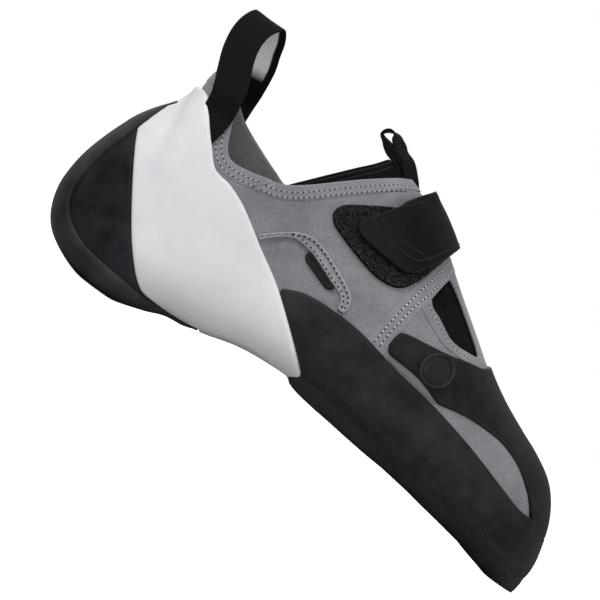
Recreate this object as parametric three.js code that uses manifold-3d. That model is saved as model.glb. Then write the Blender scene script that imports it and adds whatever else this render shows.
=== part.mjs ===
// A climbing shoe for the right foot: a hollow upper held by a rubber rand, a tension band round the
// heel, a heel cup with its wear strip, a half outsole, a toe patch, a tongue and one closing strap.
// Millimetres. +X runs from heel to toe, +Z is up and -Y is the outer side of the foot.
// The origin is on the floor, under the middle of the heel.
import * as THREE from "three";
import { mergeVertices } from "three/addons/utils/BufferGeometryUtils.js";
import Module from "manifold-3d";

const wasm = await Module();
wasm.setup();

// Sizes of the last, over the outside of the upper
const shoeLength = 250;
const instepHeight = 120;
const ballWidth = 85;

// Thickness of each layer, and the gap left between layers that are glued together
const glueGap = 0.3;
const upperWall = 1.8;
const insoleThickness = 2;
const tongueThickness = 1.6;
const randThickness = 1.6;
const cupThickness = 1.6;
const bandThickness = 2;
const archThickness = 1.6;
const heelStripThickness = 1.8;
const outsoleThickness = 4.2;
const outsoleEdge = 0.35;
const toePatchThickness = 1.2;
const roundelRise = 0.6;
const sideSeamRise = 0.7;
const padThickness = 1.8;
const strapThickness = 3;
const tagThickness = 1.6;
const webbingThickness = 1.1;

// Other sizes that can be set by themselves
const flatDepth = 0.7;
const heelLoopWidth = 14.2;
const tongueLoopWidth = 11;
const roundelRadius = 7;
const tagLength = 17;
const tagWidth = 4.6;
const throatSlitWidth = 13;
const soleOpeningShare = 0.55;

// The tables give lengths in 250ths of the shoe's length, heights in 120ths of the instep height
// above the sole, and widths in 85ths of the ball width
const lengthPart = shoeLength / 250;
const heightPart = instepHeight / 120;
const widthPart = ballWidth / 85;
const heelMiddle = 38;

// How far the rubber under the upper lifts the last from the floor, at the heel and at the forefoot
const heelLift = 2 * glueGap + cupThickness + heelStripThickness - flatDepth;
const foreLift = 2 * glueGap + randThickness + outsoleThickness - flatDepth;
const liftStart = 60;
const liftEnd = 130;

const ringCount = 27;
const pointsAround = 22;
const stepsEach = 2;

// Where the cutting outlines end, past the shoe: in table parts along it and up it, and in
// millimetres across it
const pastHeel = -20;
const pastToe = 262;
const pastTop = 190;
const pastFloor = -40;
const sideReach = ballWidth;

// Where pieces end along the underside, in table parts
const stripFront = 69;
const cupFront = 83.8;
const archRear = 84.2;
const archFront = 126.2;
const randRear = 126.6;
const outsoleRear = 124.5;

// One row for each section of the last. Its plane leans from the top point to the low point and runs
// straight across the shoe. Outer and inner are half widths, middle is the section's centre, lean
// moves its top sideways, level is where it is widest, from -1 at the low point to 1 at the top, and
// dome and under are the powers of its rounding above and below that.
const sectionColumns = ["topX", "topZ", "lowX", "lowZ", "outer", "inner", "middle", "lean", "level",
  "dome", "under"];
const sectionRows = [
  [6.3, 26.4, 6.3, 26.4, 0, 0, 0, 0, -0.2, 2, 2],
  [6.9, 36.4, 8.1, 16.9, 9.5, 9.5, 0, 0, -0.22, 2, 2],
  [9.6, 47.4, 12.4, 9.6, 16.3, 16.3, 0, 0, -0.25, 2.05, 2.05],
  [13.5, 58.4, 19, 5, 21.3, 21.3, 0, 0, -0.3, 2.1, 2.15],
  [19.1, 70.9, 28, 1.6, 24.8, 24.6, 0, 0, -0.36, 2.15, 2.5],
  [25.7, 82.2, 38, 0, 26.8, 26.5, 0, 0, -0.42, 2.2, 2.9],
  [27, 96.4, 48, 0.8, 27.9, 27.4, 0, 0, -0.48, 2.3, 2.9],
  [37, 113.4, 58.5, 4, 28.4, 27.6, 0, 0, -0.5, 2.5, 2.9],
  [57, 122.4, 70, 7.2, 28.8, 27.6, 0.3, 0, -0.48, 2.6, 2.8],
  [82, 120.8, 84, 8.7, 29.4, 28, 0.8, 0.5, -0.44, 2.4, 2.8],
  [104, 111.7, 98, 11.8, 30.6, 28.8, 1.2, 1, -0.42, 2.15, 3],
  [122, 105.2, 112, 13.4, 33, 30.8, 1.6, 1.5, -0.42, 2, 3.3],
  [137, 98.4, 127, 13.9, 36.2, 33.8, 1.8, 2, -0.44, 1.95, 3.6],
  [151, 89.2, 142, 13.7, 39.5, 37.2, 1.8, 3, -0.46, 1.95, 4],
  [166, 78.8, 157, 12.4, 42.2, 40, 1.8, 4, -0.46, 1.95, 4.2],
  [181, 68.7, 173, 11.2, 43.5, 41.5, 2.2, 5, -0.44, 2, 4.4],
  [195.5, 59.1, 189, 9.6, 43, 40.6, 3.6, 6, -0.4, 2, 4.4],
  [209.3, 52.4, 204, 7.4, 40.4, 37.6, 6, 6, -0.36, 2.05, 4.4],
  [222.3, 47.1, 218.3, 4.9, 36, 32.6, 9.2, 5, -0.32, 2.1, 4.2],
  [233, 41.6, 230.4, 2.5, 29.6, 26.6, 12.4, 4, -0.28, 2.1, 3.8],
  [240.9, 34.4, 239.4, 0.8, 22.2, 20.2, 15.2, 2.5, -0.24, 2.1, 3.4],
  [246.2, 25.8, 245.2, 0, 15, 14, 17.2, 1, -0.2, 2, 2.8],
  [249.3, 17.1, 249.3, 1.7, 8, 8, 18.4, 0, -0.1, 2, 2.2],
  [251.2, 8.5, 251.2, 8.5, 0, 0, 19, 0, 0, 2, 2],
];

// Lines on the side of the shoe, each through a few points of length and height
const bandFront = [[12, 87.6], [28.5, 87.8], [35, 82.4], [44, 72.4], [50.5, 65.7], [54.5, 64.1], [60, 63.4],
  [70, 59.3], [85, 49.7], [100, 40], [115, 27.8], [129, 15.3]];
const bandRearTop = [[10, 78.7], [21.6, 77.9], [19.8, 73.9], [17.7, 67.6], [15.5, 59.4]];
const bandRearLow = [[15.5, 59.4], [20, 51.9], [30, 37.1], [40, 23.4], [50, 12.2], [56, 7.6], [62, 6.7],
  [70, 6.7], [78, 7.2], [84, 7.9]];
const bandUnder = [[84, 7.9], [90, 9.8], [100, 12.2], [110, 13.1], [118, 12.8], [124.5, 12.1]];
const stripEdge = [[15.6, 59], [13.4, 51], [11.2, 43], [10, 35], [9.8, 27], [11, 21], [14.2, 16], [20, 11.8],
  [28, 9], [38, 7.7], [50, 6.9], [56, 6.2], [60, 5.9], [69, 5.6]];
const randTop = [[100, 40], [104, 42], [110, 44.2], [118, 45.2], [128, 45.4], [140, 44.5], [155, 41.8],
  [177, 39], [200, 34.3], [220, 28.6], [233, 25], [239.5, 24.8]];
const toeSeam = [[239.5, 24.8], [243, 23.5], [246, 21.7], [pastToe, 18]];
const patchLow = [[239.5, 24.8], [235, 30.2], [230, 34.5], [222, 39.8], [212, 43.3], [203, 44], [195, 43.6],
  [188, 42.5], [182, 41], [178, 40.6], [172, 42.6], [165, 44.1], [152, 44.4]];
const patchTop = [[152, 44.4], [149.6, 46.4], [149.2, 50], [150.2, 54.2], [153.5, 55.8], [162, 57.3],
  [172, 59.2], [180, 61.4], [188, 63.5], [193, 70]];
const patchTopInner = [[188, 39.5], [183, 43], [181.5, 50], [183, 58], [188, 63.5], [193, 70]];
const outsoleSkive = [[124, 10.6], [131, 8.9], [139, 7.1]];
const outsoleTop = [[121, 11.8], [124.6, 12.1], [129, 15.3], [140, 15.4], [157, 13.9], [173, 12.6], [189, 11],
  [204, 8.8], [218, 6.2], [230, 3.9], [240, 2.4], [pastToe, 1.6]];
const collarFront = 123;
const collarOuter = [[10, 97.4], [27, 97.6], [33, 97.2], [38, 93.9], [43, 88.9], [46, 83.4], [49, 76.9],
  [52, 72.9], [56, 71.4], [63, 72.3], [70, 74.1], [77, 75.9], [85, 81.2], [100, 94.2], [112, 103.6],
  [118, 107.4], [collarFront, 114]];
const collarInner = [[10, 97.4], [27, 97.6], [33, 97.2], [38, 94.6], [43, 90.3], [47.5, 86.6], [54, 83.4],
  [62, 80.3], [70, 77.8], [78, 77], [86, 81.7], [100, 94.2], [112, 103.6], [118, 107.4], [collarFront, 114]];
const insoleRim = [[24, 8], [40, 7], [60, 10.5], [84, 15], [112, 19], [142, 19], [173, 16.5], [204, 13],
  [226, 9], [236, 8]];
const tongueRear = [[74, 66], [79, 75.6], [84.5, 82.5], [90, 89.6], [97, 98.8], [103, 106.4], [108, 115]];
const tongueFront = 197;
const tongueLow = [[tongueFront, 90], [tongueFront, 50], [180, 51], [160, 53], [135, 57], [105, 60],
  [84, 62], [74, 66]];
const windowReach = 4;
const throatWindow = [[154.6, 82.6], [153.2, 71.7], [160, 67.6], [166, 64.8], [171, 63.7], [177, 63.9],
  [182.5, 64.8], [175, 70.2], [167, 75.6], [160, 80]];
const closurePad = [[149.3, 92.5], [146.3, 81.5], [143.5, 74], [139, 68.3], [131, 66.4], [122, 67.6],
  [108, 71.9], [102, 74.9], [99.9, 78.8], [102, 83.1], [108, 87.2], [118, 93.4], [128, 98], [140, 98]];
const strapOuter = [[129.4, 118], [128.6, 110], [124, 102.6], [118, 91.5], [114, 86.1], [111.2, 81.9],
  [111.2, 79], [114, 76.8], [120, 75.6], [131, 74.8], [137, 74.9], [141, 77], [144, 81.5], [147, 87.5],
  [149.5, 95.5], [150.5, 104]];
const strapInner = [[129.4, 118], [128.6, 110], [122, 98], [116, 86], [112, 74], [110, 62], [109, 50],
  [133, 48], [135, 58], [138, 68], [143, 80], [147, 89], [149.5, 95.5], [150.5, 104]];
const sideSeamTop = [[80.5, 53], [86, 58], [91, 61.8], [95.5, 64], [101, 64.6], [107, 63], [115, 59.6],
  [122, 56.2], [126, 53.5], [127.8, 50], [127.8, 46.2]];
const sideSeamLow = [[124.2, 46.2], [124, 49], [121.4, 51.8], [115, 54.2], [107, 57.6], [101, 59.6],
  [95, 60.4], [90.5, 59], [86, 55.4], [82.5, 51.8]];
const roundelPlace = [172.5, 51];
const tagPlace = [110, 53.4];
const tagSlope = -0.33;
const soleOpeningRows = [4, 19];
const slitEnds = [112, 147];
const slitRow = 12;
const heelLoopRow = 6;
const tongueLoopRow = 11;

// Routes of the two pull loops: length and height of the middle of the webbing, and its side
// distance as a share of the last's half width at the heel
const heelLoopOuter = [[37.8, 91.4, 0.92], [36.2, 96.4, 0.85], [33.8, 101.4, 0.75], [30.9, 108.4, 0.65],
  [29.4, 115.4, 0.52], [29.8, 122, 0.3]];
const heelLoopInner = [[35.4, 122.6, 0.28], [37.2, 116, 0.48], [39.2, 109.4, 0.6], [40.2, 101.4, 0.72],
  [40.6, 94.4, 0.88]];
const heelLoopTop = [32.4, 126.8, 0];
const heelLoopTurn = 0.35;
const heelLoopFoot = [[41.4, 70], [40.4, 77], [39.4, 84]];
const heelLoopFootInner = [[41.8, 72], [41.4, 80], [41.2, 86]];
const tongueLoopRoute = [[117, 105.8], [111, 108], [105, 109.8], [100.2, 112], [98, 115.2], [100, 118.4],
  [104.5, 118.6], [110, 115.4], [115, 111.6], [118.5, 108.4], [121, 105.6]];

// Natural cubic spline through evenly spaced values
function smooth(values) {
  const last = values.length - 1;
  const bend = new Array(last + 1).fill(0);
  const ratio = new Array(last + 1).fill(0);
  for (let i = 1; i < last; i++) {
    const pivot = 4 - ratio[i - 1];
    ratio[i] = 1 / pivot;
    bend[i] = (6 * (values[i + 1] - 2 * values[i] + values[i - 1]) - bend[i - 1]) / pivot;
  }
  for (let i = last - 1; i > 0; i--) bend[i] -= ratio[i] * bend[i + 1];
  return (t) => {
    const i = Math.min(Math.max(Math.floor(t), 0), last - 1);
    const b = t - i;
    const a = 1 - b;
    const curl = ((a ** 3 - a) * bend[i] + (b ** 3 - b) * bend[i + 1]) / 6;
    return a * values[i] + b * values[i + 1] + curl;
  };
}

const columns = sectionColumns.map((_, i) => smooth(sectionRows.map((row) => row[i])));
const lastRow = sectionRows.length - 1;

// A side-view point in millimetres, from table parts
function side([x, z]) {
  const share = THREE.MathUtils.smoothstep(x, liftStart, liftEnd);
  const lift = THREE.MathUtils.lerp(heelLift, foreLift, share);
  return new THREE.Vector2(x * lengthPart, z * heightPart + lift);
}

function sectionAt(t) {
  const row = Object.fromEntries(sectionColumns.map((name, i) => [name, columns[i](t)]));
  row.top = side([row.topX, row.topZ]);
  row.low = side([row.lowX, row.lowZ]);
  return row;
}

// A point of the last: angle 0 is the section's top, 90 degrees its outer side
function lastPoint(row, angle) {
  const up = Math.cos(angle);
  const out = Math.sin(angle);
  const power = up > 0 ? row.dome : row.under;
  const rise = Math.sign(up) * Math.abs(up) ** (2 / power);
  const reach = Math.abs(out) ** (2 / power);
  const height = row.level + (up > 0 ? 1 - row.level : 1 + row.level) * rise;
  const share = (height + 1) / 2;
  const halfWidth = out > 0 ? -row.outer : row.inner;
  const y = (row.middle + row.lean * share ** 2 + halfWidth * reach) * widthPart;
  const inSide = row.low.clone().lerp(row.top, share);
  return new THREE.Vector3(inSide.x, y, inSide.y);
}

// The last as rings of points with their outward normals
const rings = [];
for (let i = 1; i < ringCount; i++) {
  const t = (i / ringCount) * lastRow;
  const step = 0.25;
  const rows = [t - step, t, t + step].map((s) => sectionAt(THREE.MathUtils.clamp(s, 0, lastRow)));
  const ring = [];
  for (let j = 0; j < pointsAround; j++) {
    const angle = (j / pointsAround) * 2 * Math.PI;
    const turn = Math.PI / pointsAround;
    const along = lastPoint(rows[2], angle).sub(lastPoint(rows[0], angle));
    const around = lastPoint(rows[1], angle + turn).sub(lastPoint(rows[1], angle - turn));
    ring.push({ point: lastPoint(rows[1], angle), normal: around.cross(along).normalize() });
  }
  rings.push(ring);
}

function pole(t, ring) {
  const normal = new THREE.Vector3();
  for (const spot of ring) normal.add(spot.normal);
  return { point: lastPoint(sectionAt(t), 0), normal: normal.normalize() };
}

const spots = [pole(0, rings[0]), ...rings.flat(), pole(lastRow, rings[rings.length - 1])];
const lastTriangles = [];
for (let j = 0; j < pointsAround; j++) {
  const next = (j + 1) % pointsAround;
  const end = spots.length - 1;
  const lastRing = 1 + (rings.length - 1) * pointsAround;
  lastTriangles.push(0, 1 + next, 1 + j);
  lastTriangles.push(end, lastRing + j, lastRing + next);
  for (let i = 0; i < rings.length - 1; i++) {
    const a = 1 + i * pointsAround;
    const b = a + pointsAround;
    lastTriangles.push(a + j, a + next, b + j);
    lastTriangles.push(a + next, b + next, b + j);
  }
}

function solidFrom(vertices, triangles) {
  const vertProperties = new Float32Array(vertices);
  const triVerts = new Uint32Array(triangles);
  return new wasm.Manifold(new wasm.Mesh({ numProp: 3, vertProperties, triVerts }));
}

// A closed solid out to a distance from the last, which may be negative
function lastSolid(distance) {
  const moved = spots.map(({ point, normal }) => point.clone().addScaledVector(normal, distance));
  return solidFrom(moved.flatMap((point) => point.toArray()), lastTriangles);
}

function shell(from, thickness) {
  return lastSolid(from + thickness).subtract(lastSolid(from));
}

function toManifold(geometry) {
  const plain = new THREE.BufferGeometry();
  plain.setAttribute("position", geometry.getAttribute("position"));
  if (geometry.index) plain.setIndex(geometry.index);
  const merged = mergeVertices(plain, 1e-4);
  return solidFrom(merged.attributes.position.array, merged.index.array);
}

// A smooth side-view line through table points, moved by a distance to its left
function line(points, shift = 0) {
  const curve = new THREE.SplineCurve(points.map(side));
  const count = (points.length - 1) * stepsEach;
  return Array.from({ length: count + 1 }, (_, i) => {
    const tangent = curve.getTangent(i / count);
    return curve.getPoint(i / count).add(new THREE.Vector2(-tangent.y, tangent.x).multiplyScalar(shift));
  });
}

// A closed outline through table points, grown outward by a distance
function loopLine(points, grow = 0) {
  const outline = line([...points, points[0]], 0).slice(0, -1);
  const turn = THREE.ShapeUtils.isClockWise(outline) ? grow : -grow;
  return line([...points, points[0]], turn).slice(0, -1);
}

function polygon(points) {
  return points.map(side);
}

// The side-view outline pushed across the shoe from one side distance to the other
function prism(outline, from = -sideReach, to = sideReach) {
  const shape = new THREE.Shape(outline);
  const geometry = new THREE.ExtrudeGeometry(shape, { depth: to - from, bevelEnabled: false, steps: 1 });
  geometry.rotateX(Math.PI / 2).translate(0, to, 0);
  return toManifold(geometry);
}

const seamOverlap = 0.02;
function twoSided(outer, inner) {
  return prism(outer, -sideReach, seamOverlap).add(prism(inner, -seamOverlap, sideReach));
}

function reversed(points) {
  return [...points].reverse();
}

// Everything below the floor, which cuts the rubber's flat spots
const underFloor = prism([
  new THREE.Vector2(pastHeel * lengthPart, pastFloor * heightPart),
  new THREE.Vector2(pastToe * lengthPart, pastFloor * heightPart),
  new THREE.Vector2(pastToe * lengthPart, 0),
  new THREE.Vector2(pastHeel * lengthPart, 0),
]);

function makeUpper() {
  const above = polygon([[collarFront, pastTop], [pastHeel, pastTop]]);
  const collar = twoSided([...line(collarOuter), ...above], [...line(collarInner), ...above]);
  const window = prism(loopLine(throatWindow), -sideReach, windowReach * widthPart);
  const raised = shell(-upperWall / 2, upperWall / 2 + sideSeamRise);
  const seam = prism([...line(sideSeamTop), ...line(sideSeamLow)], -sideReach, 0);
  return shell(-upperWall, upperWall)
    .subtract(collar)
    .subtract(window)
    .subtract(throatSlit())
    .subtract(soleOpening())
    .add(raised.intersect(seam));
}

// The slit from the collar to under the strap, cut straight down through the instep
function throatSlit() {
  const [from, to] = slitEnds.map((x) => x * lengthPart);
  const row = sectionAt(slitRow);
  const middle = (row.middle + row.lean) * widthPart;
  const radius = throatSlitWidth / 2;
  const shape = new THREE.Shape();
  shape.moveTo(from, middle - radius);
  shape.lineTo(to - radius, middle - radius);
  shape.absarc(to - radius, middle, radius, -Math.PI / 2, Math.PI / 2);
  shape.lineTo(from, middle + radius);
  const options = { depth: instepHeight, bevelEnabled: false, curveSegments: 8 };
  const geometry = new THREE.ExtrudeGeometry(shape, options);
  return toManifold(geometry.translate(0, 0, instepHeight / 2));
}

// The opening under the foot, which the rubber closes from outside and the insole from inside
function soleOpening() {
  const [first, end] = soleOpeningRows;
  const outer = [];
  const inner = [];
  for (let t = first; t <= end; t++) {
    const row = sectionAt(t);
    const middle = row.middle * widthPart;
    outer.push(new THREE.Vector2(row.low.x, middle - soleOpeningShare * row.outer * widthPart));
    inner.push(new THREE.Vector2(row.low.x, middle + soleOpeningShare * row.inner * widthPart));
  }
  const shape = new THREE.Shape([...outer, ...reversed(inner)]);
  const highest = Math.max(...sectionRows.slice(first, end).map((_, i) => sectionAt(first + i).low.y));
  const depth = highest + 2 * upperWall;
  return toManifold(new THREE.ExtrudeGeometry(shape, { depth, bevelEnabled: false }));
}

function makeInsole() {
  const inside = -upperWall - glueGap - insoleThickness;
  const ends = [insoleRim[insoleRim.length - 1], insoleRim[0]];
  const below = polygon(ends.map(([x]) => [x, pastFloor]));
  return shell(inside, insoleThickness).intersect(prism([...line(insoleRim), ...below]));
}

function makeTongue() {
  const inside = -upperWall - glueGap - tongueThickness;
  const above = polygon([[108, pastTop], [tongueFront, pastTop]]);
  const outline = [...line(tongueRear), ...above, ...polygon(tongueLow)];
  return shell(inside, tongueThickness).intersect(prism(outline));
}

function makeRand() {
  const front = polygon([[pastToe, pastFloor], [randRear, pastFloor], [randRear, 9]]);
  const besideBand = line(reversed(bandFront), -glueGap).slice(0, 2 * stepsEach + 1);
  const outline = [...line(randTop).slice(1), ...line(toeSeam).slice(1), ...front, ...besideBand];
  return shell(glueGap, randThickness).intersect(prism(outline));
}

function makeTensionBand() {
  const outline = [
    ...line(bandFront),
    ...line(reversed(bandUnder)),
    ...line(reversed(bandRearLow)).slice(1),
    ...line(reversed(bandRearTop)).slice(1),
  ];
  return shell(glueGap, bandThickness).intersect(prism(outline));
}

function makeArchCover() {
  const below = polygon([[archFront, 11.6], [archFront, pastFloor], [archRear, pastFloor]]);
  const outline = [...line(bandUnder, -glueGap), ...below];
  return shell(glueGap, archThickness).intersect(prism(outline));
}

// The outline behind a rear edge, down to the underside and round the heel
function behind(edge, front) {
  const top = bandRearTop[0][1];
  return [...edge, ...polygon([[front, pastFloor], [pastHeel, pastFloor], [pastHeel, top]])];
}

function makeHeelCup() {
  const edge = [...line(bandRearTop, -glueGap), ...line(bandRearLow, -glueGap).slice(1)];
  return shell(glueGap, cupThickness).intersect(prism(behind(edge, cupFront)));
}

function makeHeelStrip() {
  const edge = [...line(bandRearTop, -glueGap), ...line(stripEdge)];
  return shell(2 * glueGap + cupThickness, heelStripThickness)
    .intersect(prism(behind(edge, stripFront)))
    .subtract(underFloor);
}

// The outsole is ground flush with the rand, so its sides drop straight from the rand's widest line
function makeOutsole() {
  const seat = 2 * glueGap + randThickness;
  const first = outsoleTop[0][0];
  const outline = [...line(outsoleTop, -glueGap), ...polygon([[pastToe, pastFloor], [first, pastFloor]])];
  const body = lastSolid(seat + outsoleEdge).translate([0, 0, outsoleEdge - outsoleThickness]);
  const skiveEnd = outsoleSkive[outsoleSkive.length - 1][0];
  const rear = polygon([
    [pastHeel, pastTop],
    [outsoleRear, pastTop],
    ...outsoleSkive,
    [skiveEnd, pastFloor],
    [pastHeel, pastFloor],
  ]);
  return body
    .subtract(lastSolid(seat))
    .intersect(prism(outline))
    .subtract(prism(rear))
    .subtract(underFloor);
}

function makeToePatch() {
  const beyond = polygon([[pastToe, 70], [pastToe, 18.6]]);
  const seam = line(reversed(toeSeam), -glueGap);
  const outer = [...seam, ...line(patchLow, -glueGap).slice(1), ...line(patchTop).slice(1), ...beyond];
  const low = line(reversed(randTop.slice(-4)), -glueGap).slice(1, -1);
  const inner = [...seam, ...low, ...line(patchTopInner).slice(1), ...beyond];
  const layer = shell(glueGap, toePatchThickness).intersect(twoSided(outer, inner));
  const disc = new THREE.Shape();
  const centre = side(roundelPlace);
  disc.absarc(centre.x, centre.y, roundelRadius, 0, 2 * Math.PI);
  const raised = shell(glueGap + toePatchThickness / 2, toePatchThickness / 2 + roundelRise);
  return layer.add(raised.intersect(prism(disc.getPoints(8), -sideReach, 0)));
}

function makeClosurePad() {
  return shell(glueGap, padThickness).intersect(prism(loopLine(closurePad), -sideReach, 0));
}

function makeStrap() {
  const from = 2 * glueGap + padThickness;
  return shell(from, strapThickness).intersect(twoSided(loopLine(strapOuter), loopLine(strapInner)));
}

function makeTag() {
  const centre = side(tagPlace);
  const half = tagLength / 2 - tagWidth / 2;
  const turn = Math.atan(tagSlope);
  const shape = new THREE.Shape();
  shape.absarc(centre.x + half * Math.cos(turn), centre.y + half * Math.sin(turn), tagWidth / 2,
    turn - Math.PI / 2, turn + Math.PI / 2);
  shape.absarc(centre.x - half * Math.cos(turn), centre.y - half * Math.sin(turn), tagWidth / 2,
    turn + Math.PI / 2, turn + 1.5 * Math.PI);
  return shell(glueGap, tagThickness).intersect(prism(shape.getPoints(6), -sideReach, 0));
}

// The point of the last at a side-view place, on the outer side or the inner one
function onSide(place, outerSide, distance) {
  const target = side(place);
  const miss = (t) => {
    const { top, low } = sectionAt(t);
    return top.clone().sub(low).cross(target.clone().sub(low));
  };
  let near = 1;
  const step = 0.1;
  while (near < lastRow - 1 && miss(near) * miss(near + step) > 0) near += step;
  const t = near + (step * miss(near)) / (miss(near) - miss(near + step));
  const row = sectionAt(t);
  const span = row.top.clone().sub(row.low);
  const height = (2 * target.clone().sub(row.low).dot(span)) / span.lengthSq() - 1;
  const part = (height - row.level) / (height > row.level ? 1 - row.level : 1 + row.level);
  const power = part > 0 ? row.dome : row.under;
  const angle = Math.acos(Math.sign(part) * Math.abs(part) ** (power / 2));
  const point = lastPoint(row, outerSide ? angle : -angle);
  return point.setY(point.y + (outerSide ? -distance : distance));
}

// A flat webbing swept along a route, with its width in the direction given for each of its points
function webbing(route, acrossAt, width, thickness) {
  const positions = [];
  route.forEach((point, i) => {
    const next = route[Math.min(i + 1, route.length - 1)];
    const along = next.clone().sub(route[Math.max(i - 1, 0)]).normalize();
    const across = acrossAt(point);
    const wide = across.clone().addScaledVector(along, -across.dot(along)).normalize();
    const thin = along.clone().cross(wide);
    for (const [w, h] of [[-1, -1], [1, -1], [1, 1], [-1, 1]]) {
      const corner = point.clone().addScaledVector(wide, (w * width) / 2);
      positions.push(...corner.addScaledVector(thin, (h * thickness) / 2).toArray());
    }
  });
  const end = (route.length - 1) * 4;
  const triangles = [0, 2, 1, 0, 3, 2, end, end + 1, end + 2, end, end + 2, end + 3];
  for (let i = 0; i < route.length - 1; i++) {
    for (let k = 0; k < 4; k++) {
      const a = i * 4 + k;
      const b = i * 4 + ((k + 1) % 4);
      triangles.push(a, b, a + 4, b, b + 4, a + 4);
    }
  }
  return solidFrom(positions, triangles);
}

function smoothRoute(points, count) {
  return new THREE.CatmullRomCurve3(points, false, "centripetal").getPoints(count);
}

// The heel loop is sewn to both sides of the heel, beside the tension band, and stands over the heel tab
function makeHeelLoop() {
  const halfWidth = sectionAt(heelLoopRow).outer * widthPart;
  const standing = (rows, sign) => rows.map(([x, z, share]) => {
    const spot = side([x, z]);
    return new THREE.Vector3(spot.x, sign * share * halfWidth, spot.y);
  });
  const clear = glueGap + webbingThickness;
  const route = smoothRoute([
    ...heelLoopFoot.map((place) => onSide(place, true, clear)),
    ...standing(heelLoopOuter, -1),
    ...standing([heelLoopTop], 1),
    ...standing(heelLoopInner, 1),
    ...reversed(heelLoopFootInner).map((place) => onSide(place, false, clear)),
  ], 30);
  const [lowEnd] = bandFront[bandFront.length - 1];
  const below = polygon([[lowEnd, pastFloor], [pastHeel, pastFloor], [pastHeel, bandFront[0][1]]]);
  const besideBand = [...line(bandFront, glueGap), ...below];
  const acrossAt = (point) => new THREE.Vector3(1, (heelLoopTurn * point.y) / halfWidth, 0);
  return webbing(route, acrossAt, heelLoopWidth, webbingThickness).subtract(prism(besideBand));
}

function makeTongueLoop() {
  const row = sectionAt(tongueLoopRow);
  const middle = (row.middle + row.lean) * widthPart;
  const route = smoothRoute(
    tongueLoopRoute.map((place) => new THREE.Vector3(side(place).x, middle, side(place).y)),
    24,
  );
  return webbing(route, () => new THREE.Vector3(0, 1, 0), tongueLoopWidth, webbingThickness);
}

const blackRubber = { color: 0x1c1c1e, roughness: 0.55, metalness: 0 };
const whiteRubber = { color: 0xd9d9db, roughness: 0.45, metalness: 0 };
const greySuede = { color: 0x77777c, roughness: 0.9, metalness: 0 };
const blackFabric = { color: 0x121214, roughness: 0.85, metalness: 0 };

const pieces = {
  upper: [makeUpper, greySuede],
  insole: [makeInsole, blackFabric],
  tongue: [makeTongue, blackFabric],
  rand: [makeRand, blackRubber],
  outsole: [makeOutsole, blackRubber],
  heel_cup: [makeHeelCup, blackRubber],
  heel_strip: [makeHeelStrip, blackRubber],
  tension_band: [makeTensionBand, whiteRubber],
  arch_cover: [makeArchCover, whiteRubber],
  toe_patch: [makeToePatch, blackRubber],
  closure_pad: [makeClosurePad, blackFabric],
  strap: [makeStrap, blackFabric],
  side_tag: [makeTag, blackRubber],
  heel_loop: [makeHeelLoop, blackFabric],
  tongue_loop: [makeTongueLoop, blackFabric],
};

function toMesh(name, solid, finish) {
  const { vertProperties, triVerts } = solid.getMesh();
  const geometry = new THREE.BufferGeometry();
  geometry.setAttribute("position", new THREE.BufferAttribute(vertProperties, 3));
  geometry.setIndex(new THREE.BufferAttribute(triVerts, 1));
  geometry.computeVertexNormals();
  const mesh = new THREE.Mesh(geometry, new THREE.MeshStandardMaterial(finish));
  mesh.name = name;
  return mesh;
}

const shoe = new THREE.Group();
for (const [name, [make, finish]] of Object.entries(pieces)) shoe.add(toMesh(name, make(), finish));
shoe.position.x = -heelMiddle * lengthPart;

export default shoe;
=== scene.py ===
"""Looks of a right-foot climbing shoe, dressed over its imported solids.

Most pieces are cut from one smooth skin of the shoe's last: an outline in side view says where a
piece lies, and a thickness says how far it stands on the skin. The tables hold table parts as the
part's source does: x from the back of the heel, z above the sole. Other lengths are millimetres,
with z from the floor and -y on the outer side of the foot.
"""

from __future__ import annotations

import logging
import math
from collections.abc import Sequence
from dataclasses import dataclass, field
from enum import Enum

import bpy
import numpy as np
from mathutils import Matrix, Vector
from mathutils.bvhtree import BVHTree

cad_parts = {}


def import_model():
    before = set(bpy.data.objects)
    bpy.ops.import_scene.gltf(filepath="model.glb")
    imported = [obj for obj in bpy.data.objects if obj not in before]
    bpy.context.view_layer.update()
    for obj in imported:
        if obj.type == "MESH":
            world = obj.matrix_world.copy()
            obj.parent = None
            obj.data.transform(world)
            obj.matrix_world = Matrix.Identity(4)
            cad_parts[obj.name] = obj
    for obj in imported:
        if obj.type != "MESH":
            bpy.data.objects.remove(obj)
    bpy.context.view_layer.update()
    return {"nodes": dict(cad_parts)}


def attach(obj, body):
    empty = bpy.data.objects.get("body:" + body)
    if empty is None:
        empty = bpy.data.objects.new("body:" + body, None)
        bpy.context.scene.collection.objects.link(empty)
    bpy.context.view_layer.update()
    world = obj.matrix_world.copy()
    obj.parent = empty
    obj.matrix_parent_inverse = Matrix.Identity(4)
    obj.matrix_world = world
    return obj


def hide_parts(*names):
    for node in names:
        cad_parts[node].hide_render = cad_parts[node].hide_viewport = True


LOG = logging.getLogger("climbing_shoe")
Line = tuple[tuple[float, float], ...]
Array = np.ndarray
Triple = tuple[float, float, float]

# The frame: metres in a millimetre, the length that lies over its origin, and its only body.
MILLIMETRE = 0.001
HEEL_MIDDLE = 38.0
BODY = "root"

# Heights on the skin: the top of most rubber, the foot of rubber, the foot of sewn-on cloth, and
# a distance from a rim that is far outside it.
LAYER_TOP = 1.9
ON_SKIN = 0.05
ON_CLOTH = 0.02
FAR_OUT = -30.0

# The lengths between which the rubber's rims grow sharper toward the tip of the toe.
TIP_START = 226.0
TIP_END = 238.0

# Stitches: how deep a thread's foot lies, how high the dark disc of painted shade at a hole stands, and
# the step along a row.
PEBBLE_FOOT = 0.08
HOLE_SHADE_HEIGHT = 0.16
SEWING_STEP = 0.4

# Columns of the table that a piece of skin is cut with.
PLACE = slice(0, 3)
NORMAL = slice(3, 6)
WAY = slice(6, 9)
LEVEL = 9

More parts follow.
